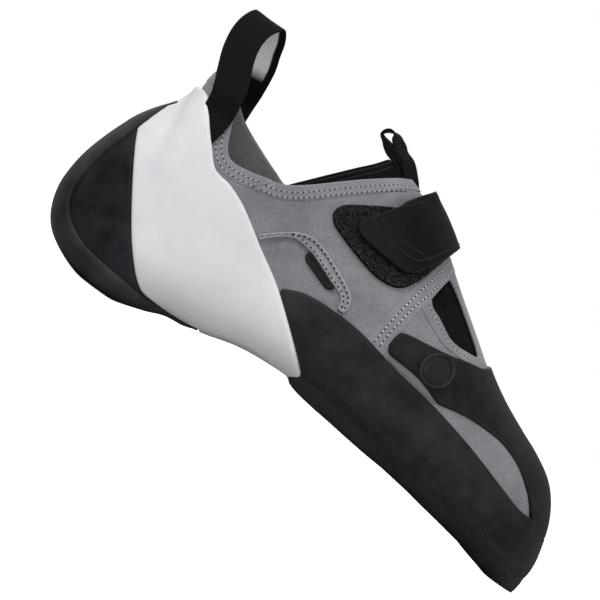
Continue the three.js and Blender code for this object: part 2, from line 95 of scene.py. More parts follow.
# A length that counts as none, and how many points are measured at a time.
TINY = 1e-9
BLOCK = 8000


class Flank(Enum):
    """The side of the foot that a line or a fold lies on."""

    OUTER = -1
    INNER = 1
    BOTH = 0


def linear(colour: str) -> tuple[float, float, float, float]:
    """A screen colour such as "7c7c80" as linear light.

    Args:
        colour: Six hexadecimal digits.

    Returns:
        Red, green, blue and full opacity.
    """
    parts = [int(colour[i : i + 2], 16) / 255 for i in (0, 2, 4)]
    red, green, blue = (p / 12.92 if p <= 0.04045 else ((p + 0.055) / 1.055) ** 2.4 for p in parts)
    return (red, green, blue, 1.0)


def smooth_line(points: Sequence[Sequence[float]] | Array, steps: int = 6) -> Array:
    """A smooth curve through points.

    Args:
        points: The points that it passes through.
        steps: How many points each stretch gets.

    Returns:
        The curve's points, one row each.
    """
    knots = np.asarray(points, float)
    padded = np.vstack([knots[:1], knots, knots[-1:]])
    count = len(knots) - 1
    before, start, end, after = (padded[i : i + count, None, :] for i in range(4))
    u = (np.arange(steps) / steps)[None, :, None]
    bend = (2 * before - 5 * start + 4 * end - after) * u**2
    twist = (3 * start - before - 3 * end + after) * u**3
    curve = 0.5 * (2 * start + (end - before) * u + bend + twist)
    return np.vstack([curve.reshape(-1, knots.shape[1]), knots[-1:]])


def closed_line(points: Sequence[Sequence[float]]) -> Array:
    """A smooth closed curve through points."""
    return smooth_line([*points, points[0]])[:-1]


def run_along(points: Array) -> Array:
    """How far along a path each of its points is."""
    steps = np.linalg.norm(np.diff(points, axis=0), axis=1)
    return np.concatenate([[0.0], np.cumsum(steps)])


def evenly(points: Array, pitch: float) -> Array:
    """Points at an even distance along a path.

    Args:
        points: The path.
        pitch: The distance wanted between two points.

    Returns:
        Points on the path, its two ends included.
    """
    run = run_along(points)
    count = max(int(round(run[-1] / pitch)), 1)
    at = np.linspace(0, run[-1], count + 1)
    return np.stack([np.interp(at, run, points[:, k]) for k in range(points.shape[1])], axis=1)


def ramp(value: Array | float, low: float, high: float) -> Array:
    """A smooth step from 0 at low to 1 at high."""
    share = np.clip((np.asarray(value, float) - low) / (high - low), 0, 1)
    return share * share * (3 - 2 * share)


def unit(vectors: Array) -> Array:
    """Vectors scaled to length 1."""
    return vectors / np.maximum(np.linalg.norm(vectors, axis=-1, keepdims=True), TINY)


def held_up(heights: Array) -> Array:
    """Heights that bend softly into zero where they would go below it."""
    return 0.5 * (heights + np.sqrt(heights**2 + 0.02))


def nearest_on(points: Array, line: Array, closed: bool) -> tuple[Array, Array, Array]:
    """Finds the nearest place of a side-view line for many points.

    Args:
        points: Side-view points.
        line: The line's points.
        closed: Whether its last point joins its first.

    Returns:
        The distance, the vector from the line to the point, and whether the line goes round it.
    """
    starts = line if closed else line[:-1]
    ends = np.roll(line, -1, axis=0) if closed else line[1:]
    spans = ends - starts
    squares = np.maximum((spans**2).sum(1), TINY)
    offsets = np.empty((len(points), 2))
    inside = np.empty(len(points), bool)
    for first in range(0, len(points), BLOCK):
        block = points[first : first + BLOCK]
        to = block[:, None] - starts[None]
        share = np.clip((to * spans).sum(-1) / squares, 0, 1)
        away = to - share[..., None] * spans
        pick = (away**2).sum(-1).argmin(1)
        offsets[first : first + BLOCK] = away[np.arange(len(block)), pick]
        level = block[:, None, 1]
        crossing = (starts[:, 1] > level) != (ends[:, 1] > level)
        rise = np.where(spans[:, 1] == 0, TINY, spans[:, 1])
        reach = starts[:, 0] + spans[:, 0] * (level - starts[:, 1]) / rise
        odd = (crossing & (block[:, None, 0] < reach)).sum(1) % 2 == 1
        inside[first : first + BLOCK] = odd
    return np.linalg.norm(offsets, axis=1), offsets, inside


@dataclass(frozen=True)
class Last:
    """The form of the foot that the shoe is built on, over the outside of its upper."""

    heel_lift: float = 3.3
    fore_lift: float = 5.7
    lift_start: float = 60.0
    lift_end: float = 130.0
    columns: tuple[str, ...] = (
        "top_x", "top_z", "low_x", "low_z", "outer", "inner", "middle", "lean", "level", "dome", "under",
    )
    rows: tuple[tuple[float, ...], ...] = (
        (6.3, 26.4, 6.3, 26.4, 0, 0, 0, 0, -0.2, 2, 2),
        (6.9, 36.4, 8.1, 16.9, 9.5, 9.5, 0, 0, -0.22, 2, 2),
        (9.6, 47.4, 12.4, 9.6, 16.3, 16.3, 0, 0, -0.25, 2.05, 2.05),
        (13.5, 58.4, 19, 5, 21.3, 21.3, 0, 0, -0.3, 2.1, 2.15),
        (19.1, 70.9, 28, 1.6, 24.8, 24.6, 0, 0, -0.36, 2.15, 2.5),
        (25.7, 82.2, 38, 0, 26.8, 26.5, 0, 0, -0.42, 2.2, 2.9),
        (27, 96.4, 48, 0.8, 27.9, 27.4, 0, 0, -0.48, 2.3, 2.9),
        (37, 113.4, 58.5, 4, 28.4, 27.6, 0, 0, -0.5, 2.5, 2.9),
        (57, 122.4, 70, 7.2, 28.8, 27.6, 0.3, 0, -0.48, 2.6, 2.8),
        (82, 120.8, 84, 8.7, 29.4, 28, 0.8, 0.5, -0.44, 2.4, 2.8),
        (104, 111.7, 98, 11.8, 30.6, 28.8, 1.2, 1, -0.42, 2.15, 3),
        (122, 105.2, 112, 13.4, 33, 30.8, 1.6, 1.5, -0.42, 2, 3.3),
        (137, 98.4, 127, 13.9, 36.2, 33.8, 1.8, 2, -0.44, 1.95, 3.6),
        (151, 89.2, 142, 13.7, 39.5, 37.2, 1.8, 3, -0.46, 1.95, 4),
        (166, 78.8, 157, 12.4, 42.2, 40, 1.8, 4, -0.46, 1.95, 4.2),
        (181, 68.7, 173, 11.2, 43.5, 41.5, 2.2, 5, -0.44, 2, 4.4),
        (195.5, 59.1, 189, 9.6, 43, 40.6, 3.6, 6, -0.4, 2, 4.4),
        (209.3, 52.4, 204, 7.4, 40.4, 37.6, 6, 6, -0.36, 2.05, 4.4),
        (222.3, 47.1, 218.3, 4.9, 36, 32.6, 9.2, 5, -0.32, 2.1, 4.2),
        (233, 41.6, 230.4, 2.5, 29.6, 26.6, 12.4, 4, -0.28, 2.1, 3.8),
        (240.9, 34.4, 239.4, 0.8, 22.2, 20.2, 15.2, 2.5, -0.24, 2.1, 3.4),
        (246.2, 25.8, 245.2, 0, 15, 14, 17.2, 1, -0.2, 2, 2.8),
        (249.3, 17.1, 249.3, 1.7, 8, 8, 18.4, 0, -0.1, 2, 2.2),
        (251.2, 8.5, 251.2, 8.5, 0, 0, 19, 0, 0, 2, 2),
    )

    def lift(self, x: Array | float) -> Array:
        """How far the rubber below holds the last off the floor at x."""
        share = ramp(x, self.lift_start, self.lift_end)
        return self.heel_lift + (self.fore_lift - self.heel_lift) * share

    def side(self, points: Sequence[Sequence[float]]) -> Array:
        """Side-view points over the floor, from table parts."""
        spots = np.array(points, float)
        spots[:, 1] += self.lift(spots[:, 0])
        return spots

    def _values(self, t: Array) -> dict[str, Array]:
        """The columns' values at places along the rows.

        Args:
            t: Places, counted in rows.

        Returns:
            The values by the column's name.
        """
        table = np.array(self.rows)
        count = len(table)
        system = np.eye(count)
        right = np.zeros_like(table)
        for i in range(1, count - 1):
            system[i, i - 1 : i + 2] = (1, 4, 1)
            right[i] = 6 * (table[i + 1] - 2 * table[i] + table[i - 1])
        bends = np.linalg.solve(system, right)
        for k in (0, 2):
            flat = system.copy()
            flat[0, :2] = (2, 1)
            flat[-1, -2:] = (1, 2)
            ends = right[:, k].copy()
            ends[0] = 6 * (table[1, k] - table[0, k])
            ends[-1] = -6 * (table[-1, k] - table[-2, k])
            bends[:, k] = np.linalg.solve(flat, ends)
        i = np.clip(np.floor(t).astype(int), 0, count - 2)
        b = (t - i)[:, None]
        a = 1 - b
        curl = ((a**3 - a) * bends[i] + (b**3 - b) * bends[i + 1]) / 6
        values = a * table[i] + b * table[i + 1] + curl
        return {name: values[:, k : k + 1] for k, name in enumerate(self.columns)}

    def surface(self, t: Array, angle: Array) -> Array:
        """Points of the last.

        Args:
            t: One place along the rows for each ring.
            angle: The angles of each ring, 0 at its top and 90 degrees on the outer side.

        Returns:
            Points by ring and angle, in millimetres.
        """
        row = self._values(t)
        up = np.cos(angle)
        out = np.sin(angle)
        power = 2 / np.where(up > 0, row["dome"], row["under"])
        span = np.where(up > 0, 1 - row["level"], 1 + row["level"])
        height = row["level"] + span * np.sign(up) * np.abs(up) ** power
        share = (height + 1) / 2
        half = np.where(out > 0, -row["outer"], row["inner"])
        y = row["middle"] + row["lean"] * share**2 + half * np.abs(out) ** power
        x = row["low_x"] + (row["top_x"] - row["low_x"]) * share
        low = row["low_z"] + self.lift(row["low_x"])
        top = row["top_z"] + self.lift(row["top_x"])
        return np.stack([x, y, low + (top - low) * share], axis=-1)


@dataclass(frozen=True)
class Fold:
    """A soft ridge, or with a negative height a trough, along a line over the floor."""

    line: Line
    reach: float
    height: float
    flank: Flank = Flank.OUTER


@dataclass
class Field:
    """The distance from an outline's rim over the skin, positive inside it, and the way inward."""

    rim: Array
    way: Array

    def outside(self) -> Field:
        """The same rim with inside and outside swapped."""
        return Field(-self.rim, -self.way)

    def within(self, other: Field) -> Field:
        """What lies inside both fields."""
        pick = other.rim < self.rim
        return Field(np.where(pick, other.rim, self.rim), np.where(pick[:, None], other.way, self.way))

    def shrunk(self, distance: float) -> Field:
        """The same outline moved inward."""
        return Field(self.rim - distance, self.way)


@dataclass
class Cut:
    """A trimmed piece of the skin: points, normals, distance to its rim, and triangles."""

    points: Array
    normals: Array
    rim: Array
    triangles: Array


@dataclass
class Skin:
    """A fine mesh of the last with its folds, which the pieces are cut from."""

    last: Last = field(default_factory=Last)
    spacing: float = 1.35
    quarters: tuple[int, int, int, int] = (56, 30, 30, 56)
    folds: tuple[Fold, ...] = ()
    slow_wave: float = 0.09
    quick_wave: float = 0.035
    steepest: float = 0.25
    fine_places: int = 3000
    fine_angles: int = 80
    points: Array = field(init=False)
    normals: Array = field(init=False)
    triangles: Array = field(init=False)
    crest: Array = field(init=False)
    tree: BVHTree = field(init=False)

    def __post_init__(self) -> None:
        """Builds the rings, joins them and raises the folds."""
        places = self._places()
        rings = [self._ring(t) for t in places]
        ends = self.last.surface(np.array([0.0, len(self.last.rows) - 1.0]), np.zeros((2, 1)))[:, 0]
        self.points = np.vstack([ends[:1], *rings, ends[1:]])
        self.crest = np.concatenate([ends[:1, 1], *[np.full(len(r), r[0, 1]) for r in rings], ends[1:, 1]])
        self.triangles = self._join(len(rings), len(rings[0]))
        self.normals = self._measure_normals()
        lift = self._folding() + self._unevenness()
        self.points = self.points + self.normals * lift[:, None]
        self.normals = self._measure_normals()
        self.tree = BVHTree.FromPolygons(self.points.tolist(), self.triangles.tolist())

    def _places(self) -> Array:
        """Places along the rows that keep the rings about one spacing apart."""
        t = np.linspace(0, len(self.last.rows) - 1, self.fine_places)
        angles = np.tile(np.array([0, 0.5, 1, 1.5]) * math.pi, (len(t), 1))
        spots = self.last.surface(t, angles)
        steps = np.linalg.norm(np.diff(spots, axis=0), axis=2).max(1)
        run = np.concatenate([[0.0], np.cumsum(steps)])
        count = int(run[-1] / self.spacing)
        return np.interp(np.linspace(0, run[-1], count + 1)[1:-1], run, t)

    def _ring(self, t: float) -> Array:
        """The points of one ring, even over each of its quarters."""
        spots = []
        for k, count in enumerate(self.quarters):
            dense = np.linspace(k, k + 1, self.fine_angles)[None] * math.pi / 2
            arc = self.last.surface(np.array([t]), dense)[0]
            run = run_along(arc)
            angle = np.interp(np.linspace(0, run[-1], count + 1)[:-1], run, dense[0])
            spots.append(self.last.surface(np.array([t]), angle[None])[0])
        return np.vstack(spots)

    @staticmethod
    def _join(count: int, around: int) -> Array:
        """Triangles that join the rings and close both ends."""
        j = np.arange(around)
        after = (j + 1) % around
        base = 1 + np.arange(count - 1)[:, None] * around
        a, b, c, d = (base + j, base + after, base + around + j, base + around + after)
        sides = np.stack([np.stack([a, b, c], -1), np.stack([b, d, c], -1)], -2).reshape(-1, 3)
        last = 1 + (count - 1) * around
        heel = np.stack([np.zeros(around, int), 1 + after, 1 + j], -1)
        toe = np.stack([np.full(around, last + around), last + j, last + after], -1)
        return np.vstack([heel, sides, toe])

    def _measure_normals(self) -> Array:
        """Outward normals of the mesh at its points."""
        a, b, c = (self.points[self.triangles[:, k]] for k in range(3))
        faces = np.cross(b - a, c - a)
        total = np.zeros_like(self.points)
        for k in range(3):
            np.add.at(total, self.triangles[:, k], faces)
        return unit(total)

    def _folding(self) -> Array:
        """How far the listed folds raise each point."""
        total = np.zeros(len(self.points))
        flat = self.points[:, [0, 2]]
        across = self.points[:, 1] - self.crest
        for fold in self.folds:
            distance, _, _ = nearest_on(flat, smooth_line(fold.line), False)
            weight = np.exp(-((distance / fold.reach) ** 2))
            if fold.flank is not Flank.BOTH:
                weight = weight * ramp(across * fold.flank.value, 0, 8)
            total += weight * fold.height
        return total

    def _unevenness(self) -> Array:
        """The slow waviness of cloth and rubber that were pulled over a form by hand."""
        p = self.points
        slow = np.sin(p[:, 0] / 9.1 + p[:, 2] / 13.7 + 0.7) * np.sin(p[:, 1] / 10.3 - p[:, 2] / 8.9)
        quick = np.sin(p[:, 0] / 4.7 - p[:, 2] / 6.1) * np.sin(p[:, 1] / 5.3 + p[:, 0] / 7.9 + 1.9)
        return self.slow_wave * slow + self.quick_wave * quick

    def field(self, outline: Array, inner: Array | None = None, reach: float | None = None,
              stand: float = 0.0, spots: Array | None = None) -> Field:
        """Measures an outline over the skin.

        Args:
            outline: The outline on the outer side, or on both where there is no other.
            inner: The outline on the inner side, where it differs.
            reach: How far across the shoe the outline goes, from the outer side.
            stand: How far off the skin it is measured.
            spots: Points to measure at instead.

        Returns:
            The field at each point.
        """
        spots = self.points + self.normals * stand if spots is None else spots
        rim, way = self._across(spots, outline)
        if inner is not None:
            share = ramp(spots[:, 1] - self.crest, -3, 3)
            other, other_way = self._across(spots, inner)
            rim = rim * (1 - share) + other * share
            way = unit(way * (1 - share[:, None]) + other_way * share[:, None])
        made = Field(rim, way)
        if reach is not None:
            toward = np.array([0.0, -1.0, 0.0]) - self.normals * -self.normals[:, 1:2]
            made = made.within(Field(reach - spots[:, 1], unit(toward)))
        return made

    def _across(self, spots: Array, outline: Array) -> tuple[Array, Array]:
        """Turns side-view distances into distances over the surface.

        Args:
            spots: The points.
            outline: The closed outline.

        Returns:
            The distance inside the outline and the way inward along the surface.
        """
        distance, offsets, inside = nearest_on(spots[:, [0, 2]], outline, True)
        sign = np.where(inside, 1.0, -1.0)
        flat = offsets * (sign / np.maximum(distance, 1e-6))[:, None]
        way = np.stack([flat[:, 0], np.zeros(len(flat)), flat[:, 1]], axis=1)
        way = way - self.normals * (way * self.normals).sum(1, keepdims=True)
        size = np.clip(np.linalg.norm(way, axis=1), self.steepest, 1)
        return sign * distance / size, way / size[:, None]

    def cut(self, place: Field, levels: Sequence[float], spots: Array | None = None) -> Cut:
        """Cuts out the inside of a field, with a row of points at each level.

        Args:
            place: The field.
            levels: Distances from the rim that get a row of points, the first being the rim.
            spots: The points, where they aren't the skin's own.

        Returns:
            The piece of skin.
        """
        spots = self.points if spots is None else spots
        table = np.column_stack([spots, self.normals, place.way, place.rim])
        near = table[self.triangles, LEVEL].max(1) > levels[0] - 0.01
        triangles = self.triangles[near]
        for i, level in enumerate(levels):
            gaps = [abs(level - other) for k, other in enumerate(levels) if k != i]
            snap = min([0.3 * self.spacing, *[0.45 * gap for gap in gaps]])
            table, triangles = slice_at(table, triangles, level, snap)
        kept = triangles[(table[triangles, LEVEL] >= levels[0] - 1e-7).all(1)]
        used, again = np.unique(kept, return_inverse=True)
        table = table[used]
        rim = table[:, LEVEL] - levels[0]
        return Cut(table[:, PLACE], unit(table[:, NORMAL]), rim, again.reshape(-1, 3))

    def drop(self, line: Array, flank: Flank) -> tuple[Array, Array]:
        """Lays a side-view line over the floor on one side of the skin.

        Args:
            line: Side-view points.
            flank: The side that it lies on.

        Returns:
            The points on the skin and the normals there.
        """
        spots = []
        normals = []
        for x, z in line:
            start = Vector((x, flank.value * 200.0, z))
            hit, normal, _, _ = self.tree.ray_cast(start, Vector((0, -flank.value, 0)))
            if hit is not None:
                spots.append(hit)
                normals.append(normal)
        return np.array(spots, float), np.array(normals, float)


def slice_at(table: Array, triangles: Array, level: float, snap: float) -> tuple[Array, Array]:
    """Splits triangles along a level of the last column.

    Args:
        table: Points, normals, inward ways and levels by column.
        triangles: The triangles.
        level: The level to split at.
        snap: Points this near to the level are moved onto it.

    Returns:
        The table with the new points, and the new triangles.
    """
    table = table.copy()
    miss = table[:, LEVEL] - level
    close = (np.abs(miss) < snap) & (np.linalg.norm(table[:, WAY], axis=1) > 0.9)
    table[close, PLACE] -= miss[close, None] * table[close, WAY]
    table[close, LEVEL] = level
    miss = table[:, LEVEL] - level
    miss[np.abs(miss) < 1e-7] = 0
    signs = np.sign(miss)[triangles]
    mixed = (signs.max(1) > 0) & (signs.min(1) < 0)
    kept = [triangles[~mixed]]
    cut = triangles[mixed]
    signs = signs[mixed]
    flat = (signs == 0).any(1)
    total = signs.sum(1)
    odd = np.where(flat[:, None], signs == 0, signs == -np.sign(total)[:, None])
    turn = odd.argmax(1)
    order = (turn[:, None] + np.arange(3)) % 3
    cut = np.take_along_axis(cut, order, 1)
    pairs = np.vstack([cut[flat][:, [1, 2]], cut[~flat][:, [0, 1]], cut[~flat][:, [0, 2]]])
    if not len(pairs):
        return table, triangles
    ordered = np.sort(pairs, axis=1)
    edges, again = np.unique(ordered, axis=0, return_inverse=True)
    again = again.reshape(-1) + len(table)
    a, b = edges[:, 0], edges[:, 1]
    share = (miss[a] / (miss[a] - miss[b]))[:, None]
    fresh = table[a] * (1 - share) + table[b] * share
    fresh[:, NORMAL] = unit(fresh[:, NORMAL])
    fresh[:, WAY] = unit(fresh[:, WAY])
    fresh[:, LEVEL] = level
    one = flat.sum()
    two = len(cut) - one
    middle = again[:one]
    first = again[one : one + two]
    second = again[one + two :]
    p, q, r = cut[flat].T
    kept += [np.stack([p, q, middle], 1), np.stack([p, middle, r], 1)]
    p, q, r = cut[~flat].T
    kept += [np.stack([p, first, second], 1), np.stack([first, q, r], 1), np.stack([first, r, second], 1)]
    return np.vstack([table, fresh]), np.vstack(kept)


def border(triangles: Array) -> Array:
    """The directed edges that only one triangle has."""
    edges = np.vstack([triangles[:, [0, 1]], triangles[:, [1, 2]], triangles[:, [2, 0]]])
    size = triangles.max() + 1
    codes = edges.min(1) * size + edges.max(1)
    _, first, counts = np.unique(codes, return_index=True, return_counts=True)
    return edges[first[counts == 1]]


def placed(name: str, data: bpy.types.ID) -> bpy.types.Object:
    """A new object, linked to the scene."""
    made = bpy.data.objects.new(name, data)
    bpy.context.scene.collection.objects.link(made)
    return made


@dataclass
class Shape:
    """A mesh in the making: points in millimetres, faces, and what its material reads from it.

    Its rim is each point's distance from the layer's edge, sanded the share of bare ground rubber,
    flat the place across and along a ribbon, and finish the number of each face's material.
    """

    points: Array
    faces: Array
    rim: Array | None = None
    flat: Array | None = None
    finish: Array | None = None
    sanded: Array | None = None

    def built(self, name: str) -> bpy.types.Object:
        """Makes the Blender object.

        Args:
            name: The piece's name.

        Returns:
            The object, linked to the scene.
        """
        mesh = bpy.data.meshes.new(name)
        place = (self.points - np.array([HEEL_MIDDLE, 0.0, 0.0])) * MILLIMETRE
        corners = self.faces.shape[1]
        mesh.vertices.add(len(place))
        mesh.vertices.foreach_set("co", place.astype(np.float32).ravel())
        mesh.loops.add(self.faces.size)
        mesh.loops.foreach_set("vertex_index", self.faces.astype(np.int32).ravel())
        mesh.polygons.add(len(self.faces))
        starts = np.arange(len(self.faces), dtype=np.int32) * corners
        mesh.polygons.foreach_set("loop_start", starts)
        if self.finish is not None:
            mesh.polygons.foreach_set("material_index", self.finish.astype(np.int32))
        mesh.update(calc_edges=True)
        mesh.polygons.foreach_set("use_smooth", np.ones(len(self.faces), bool))
        for key, values in (("rim", self.rim), ("sanded", self.sanded)):
            if values is not None:
                layer = mesh.attributes.new(key, "FLOAT", "POINT")
                layer.data.foreach_set("value", np.minimum(values, 20).astype(np.float32))
        if self.flat is not None:
            spread = mesh.uv_layers.new(name="UVMap")
            spread.data.foreach_set("uv", self.flat[self.faces.ravel()].astype(np.float32).ravel())
        mesh.validate()
        return placed(name, mesh)


def rounded(rim: Array, radius: Array | float, edge: Array | float) -> Array:
    """The share of its thickness that a layer has at a distance from its rim.

    Args:
        rim: The distances.
        radius: Where the full thickness is reached.
        edge: The share at the rim itself.

    Returns:
        The shares, from edge to 1.
    """
    share = np.clip(rim / radius, 0, 1)
    return edge + (1 - edge) * np.sqrt(np.maximum(1 - (1 - share) ** 2, 0))


def toward_tip(cut: Cut) -> Array:
    """How far each point is on the way to the tip of the toe, from 0 to 1."""
    return ramp(cut.points[:, 0], TIP_START, TIP_END)


def rim_levels(radius: float, start: float = 0.05) -> list[float]:
    """Rows of points that draw a rounded rim."""
    return [start, start + 0.1 * radius, start + 0.35 * radius, start + radius]


def layer(cut: Cut, base: Array | float, height: Array, backed: bool = True) -> Shape:
    """A layer with a closed rim.

    Args:
        cut: The piece of skin that it lies on.
        base: How far its underside stands on the skin.
        height: Its thickness at each point.
        backed: Whether the underside is there too.

    Returns:
        The mesh. Its second finish is the underside.
    """
    count = len(cut.points)
    base = np.broadcast_to(np.asarray(base, float), (count,))
    outer = cut.points + cut.normals * (base + height)[:, None]
    inner = cut.points + cut.normals * base[:, None]
    edges = border(cut.triangles)
    a, b = edges.T
    walls = np.vstack([np.stack([a, a + count, b], 1), np.stack([b, a + count, b + count], 1)])
    faces = [cut.triangles, walls]
    finish = [np.zeros(len(cut.triangles)), np.zeros(len(walls))]
    if backed:
        faces.append(cut.triangles[:, ::-1] + count)
        finish.append(np.ones(len(cut.triangles)))
    rim = np.concatenate([cut.rim, np.zeros(count)])
    return Shape(np.vstack([outer, inner]), np.vstack(faces), rim, None, np.concatenate(finish))


def swept(route: Array, wide: Array, width: Array | float, thickness: float, around: int = 20) -> Shape:
    """A flat ribbon with round edges along a route.

    Args:
        route: The middle of the ribbon.
        wide: The direction of its width at each point.
        width: Its width.
        thickness: Its thickness.
        around: How many points its section has.

    Returns:
        The mesh, with the distance across and along it for its material.
    """
    along = unit(np.gradient(route, axis=0))
    across = unit(wide - along * (wide * along).sum(1, keepdims=True))
    normal = np.cross(along, across)
    turn = np.arange(around) / around * 2 * math.pi
    flatness = 0.55
    u = np.sign(np.cos(turn)) * np.abs(np.cos(turn)) ** flatness
    v = np.sign(np.sin(turn)) * np.abs(np.sin(turn)) ** flatness
    half = np.broadcast_to(np.asarray(width, float) / 2, (len(route),))[:, None, None]
    spots = route[:, None] + across[:, None] * (u[None, :, None] * half)
    spots = spots + normal[:, None] * (v[None, :, None] * thickness / 2)
    run = run_along(route)
    flat = np.stack(np.broadcast_arrays(u[None] * half[:, :, 0], run[:, None]), -1).reshape(-1, 2)
    i = np.arange(len(route) - 1)[:, None] * around
    j = np.arange(around)
    k = (j + 1) % around
    quads = np.stack([i + j, i + k, i + around + k, i + around + j], -1).reshape(-1, 4)
    faces = np.vstack([quads[:, :3], quads[:, [0, 2, 3]]])
    inward = np.repeat((v[j] + v[k] > 0.2)[None], len(route) - 1, 0).ravel()
    fan = np.stack([np.zeros(around - 2, int), j[2:], j[1:-1]], -1)
    last = (len(route) - 1) * around
    faces = np.vstack([faces, fan, fan[:, ::-1] + last])
    finish = np.concatenate([inward, inward, np.zeros(2 * len(fan), bool)])
    return Shape(spots.reshape(-1, 3), faces, None, flat, finish)


def stamped(template: Shape, spots: Array, along: Array, normals: Array) -> Shape:
    """Copies of a small shape, set on a surface and joined.

    Args:
        template: The shape, x along the line and z off the surface.
        spots: Where each copy sits.
        along: The direction of each copy's x.
        normals: The surface's normals there.

    Returns:
        One mesh of all the copies.
    """
    across = unit(np.cross(normals, along))
    forward = np.cross(across, normals)
    axes = np.stack([forward, across, normals], axis=1)
    points = spots[:, None] + np.einsum("pk,nkc->npc", template.points, axes)
    shift = (np.arange(len(spots)) * len(template.points))[:, None, None]
    faces = (template.faces[None] + shift).reshape(-1, 3)
    return Shape(points.reshape(-1, 3), faces)


def pebble(length: float, width: float, height: float, around: int = 8, rings: int = 4) -> Shape:
    """Half of a rounded pebble, such as one stitch's thread between two holes.

    Args:
        length: Its length.
        width: Its width.
        height: How far it stands up.
        around: Points in each ring.
        rings: Rings from its foot to its top.

    Returns:
        The shape, with its foot a little below zero.
    """
    turn = np.arange(around) / around * 2 * math.pi
    rows = []
    for rise in np.linspace(0, math.pi / 2, rings, endpoint=False):
        ring = np.cos(rise) * np.stack([np.cos(turn) * length / 2, np.sin(turn) * width / 2], 1)
        rows.append(np.column_stack([ring, np.full(around, height * np.sin(rise) - PEBBLE_FOOT)]))
    points = np.vstack([*rows, [[0, 0, height - PEBBLE_FOOT]]])
    j = np.arange(around)
    k = (j + 1) % around
    faces = []
    for i in range(rings - 1):
        low = i * around
        faces += [np.stack([low + j, low + k, low + around + j], 1)]
        faces += [np.stack([low + k, low + around + k, low + around + j], 1)]
    top = (rings - 1) * around
    faces.append(np.stack([top + j, top + k, np.full(around, len(points) - 1)], 1))
    return Shape(points, np.vstack(faces))


class Graph:
    """A node tree with short ways to add and join nodes."""

    def __init__(self, tree: bpy.types.NodeTree) -> None:
        """Keeps the tree."""
        self.tree = tree

    def add(self, kind: str, inputs: dict | None = None, **settings: object) -> bpy.types.Node:
        """Adds a node.

        Args:
            kind: Its Blender type.
            inputs: Values or joined sockets by input name or number.
            settings: Its own properties.

        Returns:
            The node.
        """
        node = self.tree.nodes.new(kind)
        for name, value in settings.items():
            setattr(node, name, value)
        for key, value in (inputs or {}).items():
            if isinstance(value, bpy.types.NodeSocket):
                self.tree.links.new(value, node.inputs[key])
            else:
                node.inputs[key].default_value = value
        return node

    def join(self, value: bpy.types.NodeSocket, socket: bpy.types.NodeSocket) -> None:
        """Joins a value to the socket that takes it."""
        self.tree.links.new(value, socket)

    def place(self) -> bpy.types.NodeSocket:
        """The place on the piece, in its own metres."""
        return self.add("ShaderNodeTexCoord").outputs["Object"]

    def noise(self, scale: object, detail: float, rough: object = 0.5,
              place: bpy.types.NodeSocket | None = None) -> bpy.types.NodeSocket:
        """Soft noise from 0 to 1, over the piece or over another place."""
        spot = self.place() if place is None else place
        inputs = {"Vector": spot, "Scale": scale, "Detail": detail, "Roughness": rough}
        return self.add("ShaderNodeTexNoise", inputs).outputs["Fac"]

    def attribute(self, name: str) -> bpy.types.NodeSocket:
        """A value that the mesh carries at its points."""
        return self.add("ShaderNodeAttribute", attribute_name=name).outputs["Fac"]

    def ribbon(self) -> tuple[bpy.types.NodeSocket, bpy.types.NodeSocket]:
        """The distances across and along a ribbon."""
        parts = self.add("ShaderNodeSeparateXYZ", {0: self.add("ShaderNodeUVMap").outputs[0]})
        return parts.outputs[0], parts.outputs[1]

    def maths(self, operation: str, a: object, b: object = 0.0, c: object = 0.0) -> bpy.types.NodeSocket:
        """One calculation on values."""
        return self.add("ShaderNodeMath", {0: a, 1: b, 2: c}, operation=operation).outputs[0]

    def between(self, factor: object, a: object, b: object) -> bpy.types.NodeSocket:
        """A colour between two others."""
        return self.add("ShaderNodeMix", {0: factor, 6: a, 7: b}, data_type="RGBA").outputs[2]

    def shaded(self, factor: object, dark: str, light: str) -> bpy.types.NodeSocket:
        """A colour between two screen colours."""
        return self.between(factor, linear(dark), linear(light))

    def fitted(self, value: object, low: float, high: float,
               to: tuple[float, float] = (0.0, 1.0)) -> bpy.types.NodeSocket:
        """A value taken from one range to another, and kept inside it."""
        inputs = {"Value": value, "From Min": low, "From Max": high, "To Min": to[0], "To Max": to[1]}
        return self.add("ShaderNodeMapRange", inputs).outputs[0]


Started = tuple[Graph, bpy.types.Node, bpy.types.Node]


class Effect(Enum):
    """The shader groups that several finishes share."""

    MOTTLE = "surface_mottle"
    GRAIN = "fine_grain"
    NAP = "short_nap"
    WEAVE = "woven_threads"
    RIM_WEAR_AND_LIGHT = "edge_wear_and_painted_light"


